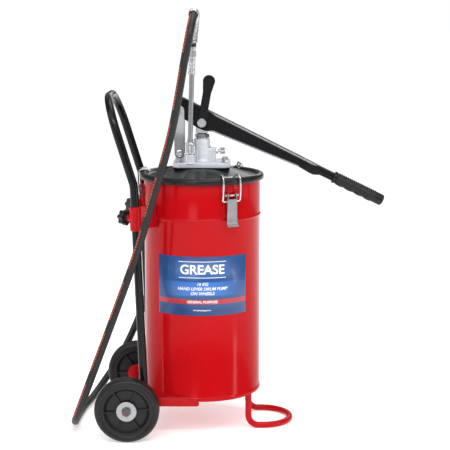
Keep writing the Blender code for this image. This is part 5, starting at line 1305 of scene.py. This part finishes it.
def makePushHandle():
    half = handle["half"]
    corners = [(drumX + x, -half, z) for x, z in (handle["foot"], handle["kink"], handle["top"])]
    corners += [(x, half, z) for x, _, z in corners[::-1]]
    radii = [handle["kinkBend"], handle["cornerBend"], handle["cornerBend"], handle["kinkBend"]]
    path = bend(corners, radii, 16)
    addPiece("handle_bow", sweep(path, handle["tube"], 32), "handleEnamel", "push_handle",
            ["push_handle"], 60, False)

    for side, tag in ((-1, "near"), (1, "far")):
        home = placed((drumX + clamp["x"], side * half, clamp["height"]), (0, clamp["tilt"], 0))
        tall, outer, bore = clamp["tall"] / 2, clamp["outer"], clamp["bore"]
        sleeve = turned([(bore, -tall + 0.0006), (bore + 0.0006, -tall), (outer - 0.0008, -tall),
                (outer, -tall + 0.001), (outer, tall - 0.001), (outer - 0.0008, tall),
                (bore + 0.0006, tall), (bore, tall - 0.0006)], 64, True)
        inward = math.degrees(math.atan2(-side * half, -clamp["x"]))
        reach = math.hypot(clamp["x"], half) - drum["radius"] - 0.0004
        web = block((bore + 0.0006, -0.0026, -tall + 0.001), (reach, 0.0026, tall - 0.001), 0.0008)
        pad = block((reach - 0.003, -0.0075, -tall + 0.0006), (reach - 0.0008, 0.0075, tall - 0.0006),
                0.0008)
        knobWay = home @ placed(turn=(0, 90, 180 + side * 45))
        nut = hexagon(0.0075, 0.0105, 0.0008)
        shape = gather(sleeve, (web, placed(turn=(0, 0, inward))), (pad, placed(turn=(0, 0, inward))))
        shift(shape, home)
        shape = gather(shape, (nut, knobWay @ placed((0, 0, clamp["bore"] + 0.0002))))
        addPiece("clamp_body_" + tag, shape, "framePaint", "root", ["handle_clamp_" + tag])

        face, thick, lobes = clamp["knobFace"], clamp["thick"], clamp["lobes"]
        outline = []
        for step in range(lobes * 10):
            angle = math.tau * step / (lobes * 10)
            spread = clamp["knob"] * (0.895 + 0.105 * math.cos(angle * lobes))
            outline.append((spread * math.cos(angle), spread * math.sin(angle)))
        cap = turned([(0, thick - 0.002), (0.0095, thick - 0.002), (0.0092, thick - 0.0004),
                (0.008, thick), (0, thick)], 48)
        collar = turned([(0, -0.003), (0.0058, -0.003), (0.0065, -0.0022), (0.0068, 0.0012), (0, 0.0012)],
                40)
        knob = gather((slab(outline, thick - 0.0012, 0.0022, 4),
                placed((0, 0, thick / 2 - 0.0006), (90, 0, 0))), cap, collar)
        shift(knob, knobWay @ placed((0, 0, face)))
        addPiece("star_knob_" + tag, knob, "knob", "knob_" + tag, ["clamp_knob_" + tag])
        threads = [(0, 0)]
        for turn in range(16):
            threads += [(0.003, turn * 0.0009), (0.0026, turn * 0.0009 + 0.00045)]
        stud = turned(threads + [(0.003, 0.0146), (0, 0.0146)], 24)
        shift(stud, knobWay @ placed((0, 0, 0.0088)))
        addPiece("knob_stud_" + tag, stud, "bright", "knob_" + tag, (), 60, False)


# wheels, axle, bracket and front foot
wheel = {"radius": 0.0625, "half": 0.016, "recess": 0.0435, "hub": 0.013, "hubHalf": 0.0125,
        "webHalf": 0.007, "rib": 0.003, "bore": 0.0064, "washer": 0.0195, "boltHead": 0.0095}
bracket = {"half": 0.1125, "sheet": 0.003, "eye": 0.019, "front": -0.004, "back": -0.113,
        "lipBottom": 0.0604}
foot = {"rod": 0.0062, "x": 0.0922, "half": 0.057, "loopAt": 0.1192, "bend": 0.02}


def makeWheels():
    half, recess, hub = wheel["half"], wheel["recess"], wheel["hub"]
    side = [(wheel["bore"], wheel["hubHalf"] - 0.0006), (wheel["bore"] + 0.0006, wheel["hubHalf"]),
            (hub - 0.001, wheel["hubHalf"]), (hub, wheel["hubHalf"] - 0.001),
            (hub + 0.001, wheel["webHalf"] + 0.0008), (hub + 0.0022, wheel["webHalf"]),
            (recess - 0.0046, wheel["webHalf"]), (recess - 0.0034, wheel["webHalf"] + 0.001),
            (recess, half - 0.003), (recess + 0.0006, half - 0.0022), (recess + 0.0022, half - 0.002),
            (recess + 0.0056, half - 0.0018), (recess + 0.0064, half - 0.0022),
            (recess + 0.0072, half - 0.0014), (recess + 0.01, half - 0.0002), (recess + 0.012, half),
            (recess + 0.0142, half - 0.0006), (recess + 0.0164, half - 0.0022),
            (recess + 0.018, half - 0.0044), (wheel["radius"] - 0.0003, half - 0.0064),
            (wheel["radius"], half - 0.0086), (wheel["radius"], 0.0012),
            (wheel["radius"] - 0.0005, 0.0006)]
    profile = side + [(radius, -height) for radius, height in side[::-1]]
    for sign, tag in ((-1, "near"), (1, "far")):
        home = placed(sizeOf("wheel_" + tag)[2], (90, 0, 0))
        parts = [turned(profile, 128, True)]
        for rib in range(6):
            outline = [(hub - 0.0006, -0.0108), (recess + 0.0002, -0.0126), (recess + 0.0002, 0.0126),
                    (hub - 0.0006, 0.0108)]
            parts.append((slab(outline, wheel["rib"], 0.0008, 2), placed(turn=(0, 0, 60 * rib + 5))))
        shape = gather(*parts)
        shift(shape, home)
        addPiece("trolley_wheel_" + tag, shape, "tyre", "wheel_" + tag, ["wheel_" + tag],
                34)

        way = "-y" if sign < 0 else "y"
        low, high, middle = sizeOf("hub_washer_" + tag)
        thick, start = high.y - low.y, low.y if sign > 0 else high.y
        washer = turned([(0.0056, 0.0003), (0.006, 0), (wheel["washer"] - 0.0003, 0),
                (wheel["washer"], 0.0004), (wheel["washer"] - 0.0002, thick - 0.0003),
                (wheel["washer"] - 0.0008, thick), (0.006, thick), (0.0056, thick - 0.0003)], 72, True)
        shift(washer, along(way, (middle.x, start, middle.z)))
        addPiece("wheel_washer_" + tag, washer, "washer", "root", ["hub_washer_" + tag])
        low, high, middle = sizeOf("axle_bolt_" + tag)
        tip, base = low.y if sign < 0 else high.y, washerFace(tag)
        head = hexagon(wheel["boltHead"], abs(tip - base) - 0.0002, 0.0012, 0.0012, 8)
        shift(head, along(way, (middle.x, base, middle.z)))
        addPiece("axle_screw_" + tag, head, "axleBolt", "root", ["axle_bolt_" + tag])


def washerFace(tag):
    low, high, _ = sizeOf("hub_washer_" + tag)
    return low.y if tag == "near" else high.y


def makeTrolley():
    low, high, middle = sizeOf("axle")
    bar = rod((high.x - low.x) / 2, high.y - low.y, 0.0006)
    shift(bar, along("y", (middle.x, low.y, middle.z)))
    addPiece("axle_bar", bar, "dark", "root", ["axle"])
    inside = bracket["half"] - bracket["sheet"]
    tube = turned([(0.0064, -inside), (0.0092, -inside), (0.0092, -inside + 0.02),
            (0.0088, -inside + 0.0206), (0.0088, inside - 0.0206), (0.0092, inside - 0.02),
            (0.0092, inside), (0.0064, inside)], 48, True)
    shift(tube, along("y", (middle.x, 0, middle.z)))
    addPiece("axle_tube", tube, "framePaint", "root")

    top = sizeOf("axle_bracket")[1].z
    eyeX, eyeZ = middle.x - drumX, middle.z
    half, sheet = bracket["half"], bracket["sheet"]
    outline = arc((eyeX, eyeZ), bracket["eye"], 82, 290, 30) + [(-0.085, bracket["lipBottom"])]
    outline += [(bracket["front"] - 0.003, bracket["lipBottom"]),
            (bracket["front"], bracket["lipBottom"] + 0.003)]
    outline += [(bracket["front"], top), (bracket["back"] - 0.002, top)]
    plates = [(block((bracket["back"], -half, top - sheet), (bracket["front"], half, top), 0.001),
            placed((drumX, 0, 0)))]
    for side in (-1, 1):
        plates.append((slab(outline, sheet, 0.001, 3), placed((drumX, side * (half - sheet / 2), 0))))
    addPiece("axle_carrier", gather(*plates), "framePaint", "root", ["axle_bracket"])

    rodRadius, x, spread = foot["rod"], drumX + foot["x"], foot["half"]
    loopX, legTop = drumX + foot["loopAt"], sizeOf("front_foot")[1].z
    leg = bend([(x, -spread, legTop), (x, -spread, rodRadius), (loopX - 0.0005, -spread, rodRadius)],
            [foot["bend"]], 12)
    path = leg[:-1] + [Vector((px, py, rodRadius)) for px, py in arc((loopX, 0), spread, -90, 90, 40)]
    path += [Vector((point.x, -point.y, point.z)) for point in leg[-2::-1]]
    addPiece("foot_loop", sweep(path, rodRadius, 24), "framePaint", "root", ["front_foot"],
            60, False)


makePushHandle()
makeWheels()
makeTrolley()
print("handle and trolley made")


# what stays as it came: inner parts, out of sight, get a finish by their kind
inside = {"lid_gasket": "rubber", "pump_tube": "drawn", "foot_valve": "dark", "piston": "dark",
        "follower_plate": "drawn", "follower_seal": "rubber"}
for node, finish in inside.items():
    mesh = bpy.data.objects[node].data
    mesh.materials.clear()
    mesh.materials.append(finishes[finish])
